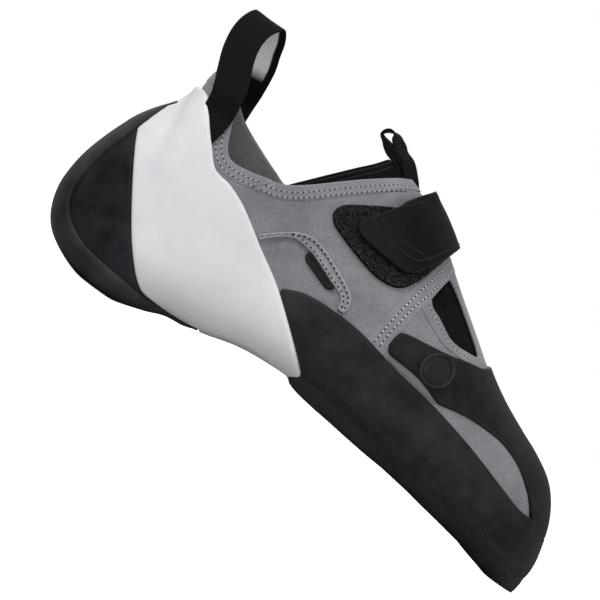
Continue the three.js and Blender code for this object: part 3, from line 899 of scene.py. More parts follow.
class Effects:
    """Builds each shared shader group once and hands it out."""

    def __init__(self) -> None:
        """Builds the groups."""
        self.made: dict[Effect, bpy.types.NodeTree] = {}
        self._mottle()
        self._grain()
        self._nap()
        self._weave()
        self._rim_wear_and_light()

    def _group(self, effect: Effect, inputs: dict[str, float], outputs: Sequence[str]) -> Started:
        """Starts a group with named sockets.

        Args:
            effect: Which one.
            inputs: Its inputs with their usual values.
            outputs: Its outputs.

        Returns:
            The graph, its input node and its output node.
        """
        tree = bpy.data.node_groups.new(effect.value, "ShaderNodeTree")
        for name, usual in inputs.items():
            socket = tree.interface.new_socket(name=name, in_out="INPUT", socket_type="NodeSocketFloat")
            socket.default_value = usual
        for name in outputs:
            tree.interface.new_socket(name=name, in_out="OUTPUT", socket_type="NodeSocketFloat")
        graph = Graph(tree)
        self.made[effect] = tree
        return graph, graph.add("NodeGroupInput"), graph.add("NodeGroupOutput")

    def _mottle(self) -> None:
        """Slow patches, for colour and gloss that aren't quite even."""
        graph, given, out = self._group(Effect.MOTTLE, {"Scale": 60, "Contrast": 1}, ["Mask"])
        small_share = 0.35
        large = graph.noise(given.outputs[0], 3)
        small = graph.noise(graph.maths("MULTIPLY", given.outputs[0], 5.3), 2)
        both = graph.maths("MULTIPLY_ADD", small, small_share, large)
        centred = graph.maths("SUBTRACT", both, 0.5 + small_share / 2)
        wide = graph.maths("MULTIPLY_ADD", centred, given.outputs[1], 0.5)
        graph.join(graph.fitted(wide, 0.0, 1.0), out.inputs[0])

    def _grain(self) -> None:
        """Fine irregular cells, as moulded or buffed rubber and coated cloth have."""
        graph, given, out = self._group(Effect.GRAIN, {"Scale": 2600, "Roughness": 0.6}, ["Height"])
        inputs = {"Vector": graph.place(), "Scale": given.outputs[0]}
        cells = graph.add("ShaderNodeTexVoronoi", inputs, feature="SMOOTH_F1").outputs["Distance"]
        coarse = graph.maths("MULTIPLY", given.outputs[0], 0.5)
        noise = graph.noise(coarse, 4, given.outputs[1])
        graph.join(graph.maths("MULTIPLY_ADD", cells, 0.5, noise), out.inputs[0])

    def _nap(self) -> None:
        """The short brushed fibres of suede: fine streaks that lie mostly one way."""
        graph, given, out = self._group(Effect.NAP, {"Scale": 900, "Lie": 2.5}, ["Height", "Shade"])
        drawn = graph.add("ShaderNodeCombineXYZ", {0: 1.0, 1: 1.0, 2: given.outputs[1]}).outputs[0]
        streaks = graph.add("ShaderNodeVectorMath", {0: graph.place(), 1: drawn}, operation="MULTIPLY")
        fine = graph.noise(given.outputs[0], 5, 0.7, streaks.outputs[0])
        patches = graph.maths("MULTIPLY", graph.noise(95.0, 3), 0.4)
        shade = graph.maths("MULTIPLY_ADD", fine, 1.6, patches)
        graph.join(fine, out.inputs[0])
        graph.join(graph.fitted(shade, 0.6, 1.4), out.inputs[1])

    def _weave(self) -> None:
        """Threads over and under each other, from the distance across and along a ribbon."""
        graph, given, out = self._group(Effect.WEAVE, {"Across": 6.0, "Along": 3.5}, ["Height", "Thread"])
        across, along = graph.ribbon()
        warp = graph.maths("SINE", graph.maths("MULTIPLY", across, given.outputs[0]))
        weft = graph.maths("SINE", graph.maths("MULTIPLY", along, given.outputs[1]))
        cross = graph.maths("MULTIPLY", warp, weft)
        ribbed = graph.maths("MULTIPLY_ADD", weft, 0.6, graph.maths("MULTIPLY", cross, 0.4))
        height = graph.maths("MULTIPLY_ADD", graph.noise(2400.0, 3), 0.5, ribbed)
        graph.join(height, out.inputs[0])
        graph.join(graph.fitted(height, -0.6, 1.2), out.inputs[1])

    def _rim_wear_and_light(self) -> None:
        """Marked rims, strongest at the rim and broken up by noise: rubbed wear, a painted shade line on
        the pale arch rubber, and with the wear a painted highlight on suede.
        """
        graph, given, out = self._group(Effect.RIM_WEAR_AND_LIGHT, {"Width": 1.2, "Amount": 1.0}, ["Mask"])
        share = graph.maths("DIVIDE", graph.attribute("rim"), given.outputs[0])
        near = graph.maths("SUBTRACT", 0.75, share)
        broken = graph.maths("MULTIPLY_ADD", graph.noise(420.0, 4), 0.9, near)
        mask = graph.fitted(broken, 0.45, 1.1)
        graph.join(graph.maths("MULTIPLY", mask, given.outputs[1]), out.inputs[0])

    def use(self, graph: Graph, effect: Effect, **values: float) -> bpy.types.NodeOutputs:
        """Puts a group into a material with its own values, and hands out what it makes."""
        node = graph.add("ShaderNodeGroup", node_tree=self.made[effect])
        for name, value in values.items():
            node.inputs[name.capitalize()].default_value = value
        return node.outputs


def begin(name: str, **values: object) -> tuple[bpy.types.Material, Graph, bpy.types.Node]:
    """Starts a material.

    Args:
        name: Its name.
        values: Values of the shader's own sockets, with underscores for spaces.

    Returns:
        The material, its graph and its shader.
    """
    made = bpy.data.materials.new(name)
    made.use_nodes = True
    graph = Graph(made.node_tree)
    shader = made.node_tree.nodes["Principled BSDF"]
    for key, value in values.items():
        shader.inputs[key.replace("_", " ")].default_value = value
    return made, graph, shader


def bumped(graph: Graph, shader: bpy.types.Node, height: bpy.types.NodeSocket, depth: float) -> None:
    """Gives a shader a bump.

    Args:
        graph: The material's graph.
        shader: The shader.
        height: What raises it.
        depth: How high a height of 1 stands, in millimetres.
    """
    inputs = {"Height": height, "Distance": depth * MILLIMETRE, "Strength": 1.0}
    graph.join(graph.add("ShaderNodeBump", inputs).outputs[0], shader.inputs["Normal"])


@dataclass(frozen=True)
class Rubber:
    """Rubber with a buffed grain, drawn marks, uneven gloss, rubbed rims or a painted shade line at the
    rim, and perhaps a sanded edge.
    """

    name: str
    dark: str
    light: str
    rubbed_rim_and_painted_shade: str
    gloss: tuple[float, float] = (0.5, 0.66)
    rim_wear_and_shade: float = 0.5
    rim_wear_and_shade_width: float = 1.0
    grain: float = 0.05
    shine: float = 0.22
    drawn: float = 0.25
    mark_depth: float = 1.2
    sanded: str = ""
    sanded_dark: str = "0c0c0c"
    sanded_gloss: float = 0.22

    def make(self, effects: Effects) -> bpy.types.Material:
        """Builds the material."""
        made, graph, shader = begin(self.name, Specular_IOR_Level=self.shine)
        patches = effects.use(graph, Effect.MOTTLE, scale=26.0, contrast=2.6)[0]
        marks = effects.use(graph, Effect.NAP, scale=620.0, lie=3.2)
        rest = graph.maths("MULTIPLY", patches, 1 - self.drawn)
        shade = graph.maths("MULTIPLY_ADD", marks[1], self.drawn, rest)
        colour = graph.shaded(shade, self.dark, self.light)
        gloss = graph.fitted(patches, 0, 1, self.gloss)
        if self.sanded:
            ground = graph.attribute("sanded")
            bare = graph.shaded(marks[1], self.sanded_dark, self.sanded)
            colour = graph.between(ground, colour, bare)
            gloss = graph.maths("MULTIPLY_ADD", ground, self.sanded_gloss, gloss)
        # Rims are mixed toward the rim colour: rubbed wear on most rubbers, a dark line of painted shade
        # on the arch cover.
        rim_wear_and_painted_light = effects.use(graph, Effect.RIM_WEAR_AND_LIGHT, width=self.rim_wear_and_shade_width, amount=self.rim_wear_and_shade)[0]
        graph.join(graph.between(rim_wear_and_painted_light, colour, linear(self.rubbed_rim_and_painted_shade)), shader.inputs["Base Color"])
        graph.join(gloss, shader.inputs["Roughness"])
        cells = effects.use(graph, Effect.GRAIN, scale=1500.0, roughness=0.6)[0]
        height = graph.maths("MULTIPLY_ADD", marks[0], self.mark_depth, cells)
        bumped(graph, shader, height, self.grain)
        return made


@dataclass(frozen=True)
class Suede:
    """Synthetic suede with a short nap."""

    name: str
    dark: str
    light: str
    sheen: float = 0.15
    grain: float = 0.05
    patchy: float = 0.25

    def make(self, effects: Effects) -> bpy.types.Material:
        """Builds the material."""
        made, graph, shader = begin(
            self.name, Roughness=0.9, Specular_IOR_Level=0.2, Sheen_Weight=self.sheen,
            Sheen_Roughness=0.45)
        nap = effects.use(graph, Effect.NAP, scale=1500.0, lie=1.6)
        patches = effects.use(graph, Effect.MOTTLE, scale=24.0, contrast=1.5)[0]
        streaks = graph.maths("MULTIPLY", nap[1], 1 - self.patchy)
        shade = graph.maths("MULTIPLY_ADD", patches, self.patchy, streaks)
        colour = graph.shaded(shade, self.dark, self.light)
        # Rims are lightened toward the light colour: rubbed wear, and a painted highlight along rims and
        # ridges.
        rim_wear_and_painted_light = effects.use(graph, Effect.RIM_WEAR_AND_LIGHT, width=0.7, amount=0.35)[0]
        graph.join(graph.between(rim_wear_and_painted_light, colour, linear(self.light)), shader.inputs["Base Color"])
        bumped(graph, shader, nap[0], self.grain)
        return made


@dataclass(frozen=True)
class Cloth:
    """Knitted or woven cloth without a direction of its own: lining, tongue and loop pad."""

    name: str
    dark: str
    light: str
    scale: float = 1100.0
    grain: float = 0.12
    sheen: float = 0.1

    def make(self, effects: Effects) -> bpy.types.Material:
        """Builds the material."""
        made, graph, shader = begin(
            self.name, Roughness=0.95, Specular_IOR_Level=0.05, Sheen_Weight=self.sheen,
            Sheen_Roughness=0.5)
        cells = effects.use(graph, Effect.GRAIN, scale=self.scale, roughness=0.7)[0]
        patches = effects.use(graph, Effect.MOTTLE, scale=70.0, contrast=1.6)[0]
        shade = graph.fitted(graph.maths("MULTIPLY_ADD", patches, 0.3, cells), 0.4, 1.3)
        graph.join(graph.shaded(shade, self.dark, self.light), shader.inputs["Base Color"])
        bumped(graph, shader, cells, self.grain)
        return made


@dataclass(frozen=True)
class Webbing:
    """Woven webbing, which may have a pale middle between dark borders, brightened over a stretch of its
    length as a painted highlight.
    """

    name: str
    dark: str
    light: str
    middle: str = ""
    middle_dark: str = "d4d4d6"
    middle_half: float = 3.9
    stretch: tuple[float, float] = (60.0, 97.0)
    fades: tuple[float, float, float] = (0.3, 1.5, 2.5)
    ribs: float = 6.5
    depth: float = 0.12

    def make(self, effects: Effects) -> bpy.types.Material:
        """Builds the material."""
        made, graph, shader = begin(self.name, Roughness=0.7, Specular_IOR_Level=0.08)
        weave = effects.use(graph, Effect.WEAVE, across=9.0, along=self.ribs)
        colour = graph.shaded(weave[1], self.dark, self.light)
        # The pale middle is a woven stripe, made near white and faded in and out along the ribbon as a
        # painted highlight.
        if self.middle:
            across, along = graph.ribbon()
            side, start_fade, end_fade = self.fades
            start, end = self.stretch
            off_middle = graph.maths("ABSOLUTE", across)
            inside = graph.fitted(off_middle, self.middle_half - side, self.middle_half + side, (1.0, 0.0))
            entered = graph.fitted(along, start, start + start_fade)
            left = graph.fitted(along, end - end_fade, end + end_fade, (1.0, 0.0))
            inside = graph.maths("MULTIPLY", inside, graph.maths("MULTIPLY", entered, left))
            colour = graph.between(inside, colour, graph.shaded(weave[1], self.middle_dark, self.middle))
        graph.join(colour, shader.inputs["Base Color"])
        bumped(graph, shader, weave[0], self.depth)
        return made


@dataclass(frozen=True)
class Thread:
    """Twisted sewing thread, or the dark disc beside it that is painted shade for the hole."""

    name: str
    dark: str
    light: str
    grain: float = 0.03

    def make(self, effects: Effects) -> bpy.types.Material:
        """Builds the material."""
        made, graph, shader = begin(self.name, Roughness=0.7, Specular_IOR_Level=0.25)
        cells = effects.use(graph, Effect.GRAIN, scale=2400.0, roughness=0.6)[0]
        shade = graph.fitted(cells, 0.4, 1.1)
        graph.join(graph.shaded(shade, self.dark, self.light), shader.inputs["Base Color"])
        bumped(graph, shader, cells, self.grain)
        return made


@dataclass
class Finishes:
    """All materials of the shoe, made once."""

    effects: Effects = field(default_factory=Effects)

    def __post_init__(self) -> None:
        """Builds each one."""
        black = ("020203", "303034", "38383c")
        recipes = {
            "suede": Suede("grey_suede", "4c4c50", "949499"),
            "suede_dark": Suede("grey_suede_dark", "58585a", "707073"),
            "suede_trim": Suede("grey_suede_trim", "56565a", "94949a"),
            # The seam's suede is a lighter copy of the grey suede: a painted highlight on the seam's
            # ridges.
            "suede_seam": Suede("grey_seam_suede_painted_highlight", "66666a", "a6a6ab"),
            "lining": Cloth("dark_lining", "606062", "8a8a8c", scale=1400.0, grain=0.06),
            "knit": Cloth("black_knit", "020203", "19191c", scale=900.0, grain=0.25, sheen=0.0),
            "rubber": Rubber("black_rubber", *black, shine=0.12, sanded="363636"),
            "cup": Rubber("black_rubber_cup", "020203", "303036", "323236", shine=0.1),
            "ground": Rubber("ground_rubber", "0c0c0c", "3a3a3a", "333332", gloss=(0.75, 0.9), rim_wear_and_shade=0.2,
                             shine=0.15, grain=0.16, drawn=0.65),
            "strip": Rubber("black_rubber_strip", "040404", "3c3c3c", "343434", rim_wear_and_shade=0.2, shine=0.12),
            "patch": Rubber("black_rubber_patch", "020203", "28282c", "3a3a3e", rim_wear_and_shade=0.3, shine=0.12),
            "roundel": Rubber("black_rubber_roundel", "050506", "1c1c1f", "404044", rim_wear_and_shade=0.6,
                              rim_wear_and_shade_width=1.4, shine=0.18),
            "pale": Rubber("pale_rubber", "cdcdd1", "d9d9db", "e0e0e2", gloss=(0.36, 0.5), rim_wear_and_shade=0.3,
                           grain=0.008, shine=0.45, drawn=0.15),
            # The arch cover's dark rim colour is painted shade: a thin dark line where it meets the band's
            # edge.
            "arch": Rubber("pale_arch_rubber", "b4b4b6", "c6c6c8", "505052", rim_wear_and_shade_width=0.5, rim_wear_and_shade=0.9,
                           grain=0.01, shine=0.4, drawn=0.15),
            "pad": Cloth("black_loop_fabric", "030304", "0e0e10", scale=1300.0, grain=0.35, sheen=0.0),
            "fibre": Thread("black_loop_fibre", "020203", "6a6a6e"),
            "strap": Rubber("black_strap", "030304", "111113", "2a2a2d", gloss=(0.5, 0.62), rim_wear_and_shade=0.4,
                            rim_wear_and_shade_width=0.8, shine=0.12),
            "tag": Rubber("black_tag", "020203", "08080a", "2c2c2f", gloss=(0.3, 0.45), shine=0.2,
                          grain=0.01),
            "webbing": Webbing("black_webbing", "010102", "18181b"),
            "webbing_pale": Webbing("black_webbing_inside_lit", "010102", "18181b", "ffffff"),
            "thread": Thread("grey_thread", "7e7e82", "b0b0b4"),
            "thread_light": Thread("light_grey_thread", "8c8c90", "c2c2c6"),
            "thread_black": Thread("black_thread", "08080a", "242427"),
            # Painted shade: the dark discs that stand for the stitch holes.
            "hole": Thread("stitch_hole", "0a0a0b", "1e1e20"),
        }
        self.made = {key: recipe.make(self.effects) for key, recipe in recipes.items()}

    def __getitem__(self, key: str) -> bpy.types.Material:
        """The material with that short name."""
        return self.made[key]


Row = tuple[Array, Flank, float]
Span = tuple[float, float]


@dataclass(frozen=True)
class Ply:
    """How thick a layer is, how far its underside stands on the skin, and how its rim is rounded."""

    height: float
    base: float = ON_SKIN
    radius: float = 0.8
    edge: float = 0.4


@dataclass(frozen=True)
class Stitch:
    """One kind of sewing: its thread, the size of each thread and of the dark disc of painted shade at
    each hole, and its pitch.
    """

    thread: str
    size: Triple
    hole: tuple[float, float] = (1.1, 0.85)
    pitch: float = 2.2


@dataclass
class Workshop:
    """What every sub-assembly needs: the skin, the finishes, and how pieces are set into the part."""

    skin: Skin
    finishes: Finishes

    def fit(self, name: str, shape: Shape, slot: str, finishes: Sequence[str],
            nodes: Sequence[str] = ()) -> bpy.types.Object:
        """Builds a piece and sets it into the part.

        Args:
            name: The piece's name.
            shape: Its mesh.
            slot: The record's material slot; not used.
            finishes: Its finishes, in the order that its faces name them.
            nodes: The solids that it stands for.

        Returns:
            The piece.
        """
        piece = shape.built(name)
        for finish in finishes:
            piece.data.materials.append(self.finishes[finish])
        if len(finishes) == 1:
            piece.data.polygons.foreach_set("material_index", np.zeros(len(shape.faces), np.int32))
        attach(piece, BODY)
        if nodes:
            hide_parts(*nodes)
        LOG.info("%s: %d faces", name, len(shape.faces))
        return piece

    def sewn(self, name: str, rows: Sequence[Row], stitch: Stitch, slot: str) -> None:
        """Sews rows of stitches as one piece of threads and one of dark discs that are painted shade at
        the holes.

        Args:
            name: What the rows are called.
            rows: Side-view lines over the floor, with their side and their height on the skin.
            stitch: The kind of sewing.
            slot: The record's material slot.
        """
        threads = []
        hole_shades = []
        for line, flank, height in rows:
            points, normals = self.skin.drop(evenly(line, SEWING_STEP), flank)
            both = evenly(np.hstack([points + normals * height, normals]), stitch.pitch)
            place = both[:, :3]
            off = unit(both[:, 3:])
            way = unit(np.diff(place, axis=0))
            threads.append(((place[1:] + place[:-1]) / 2, way, unit(off[1:] + off[:-1])))
            hole_shades.append((place, np.vstack([way, way[-1:]]), off))
        for suffix, template, sets, finish in (
            ("", pebble(*stitch.size), threads, stitch.thread),
            ("_holes", pebble(*stitch.hole, HOLE_SHADE_HEIGHT, rings=2), hole_shades, "hole"),
        ):
            made = stamped(template, *(np.vstack(part) for part in zip(*sets)))
            self.fit(name + suffix, made, slot, [finish])

    def lay(self, name: str, place: Field, ply: Ply, slot: str, finish: str,
            nodes: Sequence[str] = ()) -> None:
        """Lays a layer of even thickness with a rounded rim.

        Args:
            name: The piece's name.
            place: Where it lies.
            ply: Its thickness and rim.
            slot: The record's material slot.
            finish: Its finish.
            nodes: The solids that it stands for.
        """
        cut = self.skin.cut(place, rim_levels(ply.radius))
        shape = layer(cut, ply.base, ply.height * rounded(cut.rim, ply.radius, ply.edge))
        self.fit(name, shape, slot, [finish], nodes)


def aside(line: Array, distance: float) -> Array:
    """A side-view line moved to its left by a distance."""
    way = unit(np.gradient(line, axis=0))
    return line + np.stack([-way[:, 1], way[:, 0]], axis=1) * distance


def between_x(line: Array, low: float, high: float) -> Array:
    """The part of a side-view line between two lengths."""
    return line[(line[:, 0] >= low) & (line[:, 0] <= high)]


@dataclass(frozen=True)
class Seams:
    """The lines where pieces meet, in table parts, and how they are drawn over the floor."""

    last: Last = field(default_factory=Last)
    past_toe: float = 262.0
    past_heel: float = -20.0
    past_top: float = 190.0
    past_floor: float = -40.0
    band_front: Line = (
        (12, 87.6), (28.5, 87.8), (35, 82.4), (44, 72.4), (50.5, 65.7), (54.5, 64.1), (60, 63.4),
        (70, 59.3), (85, 49.7), (100, 40), (115, 27.8), (129, 15.3),
    )
    band_rear_top: Line = ((10, 78.7), (21.6, 77.9), (19.8, 73.9), (17.7, 67.6), (15.5, 59.4))
    band_rear_low: Line = (
        (15.5, 59.4), (20, 51.9), (30, 37.1), (40, 23.4), (50, 12.2), (56, 7.6), (62, 6.7), (70, 6.7),
        (78, 7.2), (84, 7.9),
    )
    band_under: Line = ((84, 7.9), (90, 9.8), (100, 12.2), (110, 13.1), (118, 12.8), (124.5, 12.1))
    rand_top: Line = (
        (100, 40), (104, 42), (110, 44.2), (118, 45.2), (128, 45.4), (140, 44.5), (155, 41.8), (177, 39),
        (200, 34.3), (220, 28.6), (233, 25), (239.5, 24.8),
    )
    toe_seam: Line = ((239.5, 24.8), (243, 23.5), (246, 21.7), (262, 18))
    collar_outer: Line = (
        (10, 97.4), (27, 97.6), (33, 97.2), (38, 93.9), (43, 88.9), (46, 83.4), (49, 76.9),
        (52, 72.9), (56, 71.4), (63, 72.3), (70, 74.1), (77, 75.9), (85, 81.2), (100, 94.2),
        (112, 103.6), (118, 107.4), (123, 114),
    )
    collar_inner: Line = (
        (10, 97.4), (27, 97.6), (33, 97.2), (38, 94.6), (43, 91.5), (47.5, 88.2), (54, 85.1), (62, 81.9),
        (70, 78.9), (78, 76.6), (86, 81.7), (100, 94.2), (112, 103.6), (118, 107.4), (123, 114),
    )
    window: Line = (
        (154.6, 83.8), (153.2, 71.7), (160, 67.6), (166, 64.8), (171, 63.7), (177, 63.9), (182.5, 65.4),
        (175, 71.4), (167, 76.8), (160, 81.2),
    )

    def line(self, points: Sequence[Sequence[float]]) -> Array:
        """A smooth line over the floor, from table parts."""
        return smooth_line(self.last.side(points))

    def loop(self, points: Sequence[Sequence[float]]) -> Array:
        """A smooth closed line over the floor, from table parts."""
        return closed_line(self.last.side(points))

    def shape(self, *stretches: Array) -> Array:
        """One outline from lines over the floor."""
        return np.vstack(stretches)

    def corners(self, *points: tuple[float, float]) -> Array:
        """Straight corners over the floor, from table parts."""
        return self.last.side(points)


@dataclass
class UpperShell:
    """The hollow grey upper with its sewn-on strips, seam, tag and stitches."""

    shop: Workshop
    seams: Seams
    wall: float = 1.8
    trim_width: float = 6.3
    trim_front: Ply = Ply(0.5, ON_CLOTH, 0.9, 0.25)
    trim_rear: Ply = Ply(0.35, ON_CLOTH, 0.9, 0.25)
    vamp: Ply = Ply(0.4, ON_CLOTH, 0.7, 0.3)
    below_window: Ply = Ply(0.55, ON_SKIN, 0.7, 0.3)
    wedge_ply: Ply = Ply(0.35, ON_CLOTH, 0.5, 0.3)
    seam_height: float = 1.05
    seam_groove: float = 0.85
    seam_slope_end: float = 90.0
    seam_level_start: float = 95.0
    seam_stitch_start: float = 92.0
    seam_stitch_inset: float = 1.15
    seam_stitch_height: float = 0.93
    strip_stitch_height: float = 0.58
    collar_rows: tuple[tuple[Span, Span, Span, float], ...] = (
        ((2.6, 4.9), (43.5, 69), (42, 66), 0.37), ((3.0, 5.3), (71, 119), (70, 119), 0.52),
    )
    tag_height: float = 1.75
    tag_dish: float = 0.3
    slit: Triple = (112.0, 147.0, 5.6)
    slit_middle: float = 3.8
    slit_facing: float = 0.2
    window_reach: float = 4.0
    strip_reach: float = 2.0
    collar_stitch: Stitch = Stitch("thread", (1.5, 0.72, 0.34), (1.0, 0.85))
    seam_stitch: Stitch = Stitch("thread", (1.35, 0.62, 0.28), (0.95, 0.75))
    vamp_stitch: Stitch = Stitch("thread_light", (1.45, 0.85, 0.42), (1.25, 1.0))
    collar: Field = field(init=False)
    opening: Field = field(init=False)
    seam_place: Field = field(init=False)
    seam_top: Line = (
        (80.5, 53), (86, 58), (91, 61.8), (95.5, 64), (101, 64.6), (107, 63), (115, 59.6), (122, 56.2),
        (126, 53.5), (127.8, 50), (127.8, 46.2),
    )
    seam_low: Line = (
        (124.2, 46.2), (124, 49), (121.4, 51.8), (115, 54.2), (107, 57.6), (101, 59.6), (95, 60.4),
        (90.5, 59), (86, 55.4), (82.5, 51.8),
    )
    front_trim: Line = ((60, 61), (66.5, 69), (73, 77), (84, 92), (130, 130), (134, 96), (72, 58))
    rear_trim: Line = ((14, 110), (60, 96), (84, 90), (84, 72), (66, 58), (40, 58), (14, 90))
    vamp_strip: Line = (
        (147.2, 98), (146, 88), (144.2, 78), (142.2, 66), (141.4, 48), (149.8, 47), (150.3, 60),
        (151.5, 72), (152.6, 78), (153.6, 88), (154.5, 97),
    )
    window_strip: Line = (
        (152.2, 77.6), (160.8, 73.2), (168, 69.4), (176, 68.6), (186, 70), (187, 67), (178, 65.4),
        (168, 65.6), (160, 68.4), (151.5, 72.6),
    )
    wedge: Line = (
        (151.5, 50.3), (165, 49.8), (172, 48.3), (179.5, 45.8), (177, 44.8), (164, 46.4), (152.5, 47.9),
    )
    left_stitches: Line = ((149.9, 97), (148.5, 85), (147, 78), (145, 65), (144, 50.5))
    right_stitches: Line = ((153, 94), (151, 80), (149, 72), (147.2, 60), (146.7, 50.5))
    strip_stitches: Line = ((153, 75), (160.6, 71.2), (168, 67.6), (176, 66.9), (185, 68.3))
    tag_place: tuple[float, float] = (109.8, 55.3)
    tag_slope: float = -0.33
    tag_size: tuple[float, float] = (18.2, 5.6)

    def build(self) -> None:
        """Builds the shell and everything sewn to it."""
        seams = self.seams
        skin = self.shop.skin
        above = seams.corners((123, seams.past_top), (seams.past_heel, seams.past_top))
        outer = seams.shape(seams.line(seams.collar_outer), above)
        inner = seams.shape(seams.line(seams.collar_inner), above)
        self.collar = skin.field(outer, inner)
        self.opening = skin.field(seams.loop(seams.window), reach=self.window_reach)
        self._shell()
        self._trims()
        self._seam()
        self._strips()
        self._stitches()
        self._tag()

    def _slit(self) -> Field:
        """The slit down the instep, which is measured from above."""
        skin = self.shop.skin
        start, end, radius = self.slit
        p = skin.points
        near = np.clip(p[:, 0], start, end - radius)
        away = np.stack([p[:, 0] - near, p[:, 1] - self.slit_middle, np.zeros(len(p))], axis=1)
        distance = np.linalg.norm(away, axis=1)
        way = -unit(away)
        way = unit(way - skin.normals * (way * skin.normals).sum(1, keepdims=True))
        rim = np.where(skin.normals[:, 2] > self.slit_facing, radius - distance, FAR_OUT)
        return Field(rim, way)

    def _shell(self) -> None:
        """The shell itself, with round rims at the collar, window and slit."""
        place = self.collar.outside().within(self.opening.outside()).within(self._slit().outside())
        cut = self.shop.skin.cut(place, [0.02, 0.15, 0.5, 1.1])
        full = rounded(cut.rim, 1.08, 0.12)
        half = self.wall / 2
        shape = layer(cut, -half - half * full, self.wall * full)
        self.shop.fit("upper_shell", shape, "grey_suede", ["suede", "lining"], ["upper"])

    def _trims(self) -> None:
        """The strips that are folded over the collar's edge."""
        strip = self.collar.outside().within(self.collar.shrunk(-self.trim_width))
        ahead = self.shop.skin.field(np.array(self.front_trim))
        rear = strip.within(self.shop.skin.field(np.array(self.rear_trim))).within(ahead.outside())
        self.shop.lay("collar_trim_rear", rear, self.trim_rear, "grey_suede", "suede_trim")
        front = strip.within(ahead)
        self.shop.lay("collar_trim_front", front, self.trim_front, "grey_suede", "suede_trim")

    def _seam(self) -> None:
        """The raised double seam on the outer side."""
        seams = self.seams
        outline = seams.shape(seams.line(self.seam_top), seams.line(self.seam_low))
        self.seam_place = self.shop.skin.field(outline, reach=0.0)
        cut = self.shop.skin.cut(self.seam_place, [0.05, 0.15, 0.4, 0.55, 0.7, 0.95, 1.2, 1.5])
        narrow = ramp(-cut.points[:, 0], -self.seam_level_start, -self.seam_slope_end)
        groove = ramp(cut.rim, 0.7 - 0.32 * narrow, 1.2 - 0.45 * narrow)
        ridge = rounded(cut.rim, 0.6 - 0.25 * narrow, 0.3)
        height = self.seam_height * ridge - self.seam_groove * groove
        self.shop.fit("side_seam", layer(cut, ON_CLOTH, height), "grey_suede", ["suede_seam"])

    def _strips(self) -> None:
        """The strips beside and under the window, and the darker wedge below the toe patch's arm."""
        field_of = self.shop.skin.field
        outside = self.opening.outside()
        vamp = field_of(closed_line(self.vamp_strip), reach=self.strip_reach).within(outside)
        self.shop.lay("vamp_strip", vamp, self.vamp, "grey_suede", "suede_trim")
        low = field_of(closed_line(self.window_strip), reach=self.strip_reach).within(outside)
        self.shop.lay("window_strip", low, self.below_window, "grey_suede", "suede")
        wedge = field_of(closed_line(self.wedge), reach=0.0)
        self.shop.lay("toe_wedge", wedge, self.wedge_ply, "grey_suede", "suede_dark")

    def _stitches(self) -> None:
        """The sewn rows of the collar, of the seam with the strip under the window, and of the vamp."""
        seams = self.seams
        collar = seams.line(seams.collar_outer)
        far = seams.line(seams.collar_inner)
        rows = []
        for distances, outer_span, inner_span, height in self.collar_rows:
            for distance in distances:
                rows.append((between_x(aside(collar, -distance), *outer_span), Flank.OUTER, height))
                rows.append((between_x(aside(far, -distance), *inner_span), Flank.INNER, height))
        self.shop.sewn("collar_stitches", rows, self.collar_stitch, "grey_suede")
        rows = []
        for edge in (self.seam_top, self.seam_low):
            beside = aside(seams.line(edge), -self.seam_stitch_inset)
            ahead = beside[beside[:, 0] > self.seam_stitch_start]
            rows.append((ahead, Flank.OUTER, self.seam_stitch_height))
        rows.append((smooth_line(self.strip_stitches), Flank.OUTER, self.strip_stitch_height))
        self.shop.sewn("seam_stitches", rows, self.seam_stitch, "grey_suede")
        lines = (self.left_stitches, self.right_stitches)
        rows = [(smooth_line(line), Flank.OUTER, self.vamp.height) for line in lines]
        self.shop.sewn("vamp_stitches", rows, self.vamp_stitch, "grey_suede")

    def _tag(self) -> None:
        """The plain rubber tag under the seam."""
        (x, z), = self.seams.last.side([self.tag_place])
        length, width = self.tag_size
        half = (length - width) / 2
        tilt = math.atan(self.tag_slope)
        turns = np.linspace(-math.pi / 2, math.pi / 2, 12)
        ends = []
        for way, turned in ((1, 0), (-1, math.pi)):
            angles = tilt + turns + turned
            middle = np.array([x, z]) + way * half * np.array([math.cos(tilt), math.sin(tilt)])
            ends.append(middle + width / 2 * np.stack([np.cos(angles), np.sin(angles)], axis=1))
        beside_seam = self.seam_place.outside().shrunk(ON_SKIN)
        place = self.shop.skin.field(np.vstack(ends), reach=0.0).within(beside_seam)
        cut = self.shop.skin.cut(place, [0.05, 0.15, 0.4, 0.75, 1.15])
        dish = self.tag_dish * ramp(cut.rim, 0.75, 1.1)
        height = self.tag_height * rounded(cut.rim, 0.6, 0.4) - dish
        shape = layer(cut, ON_SKIN, height)
        self.shop.fit("side_tag_cover", shape, "black_rubber", ["tag"], ["side_tag"])


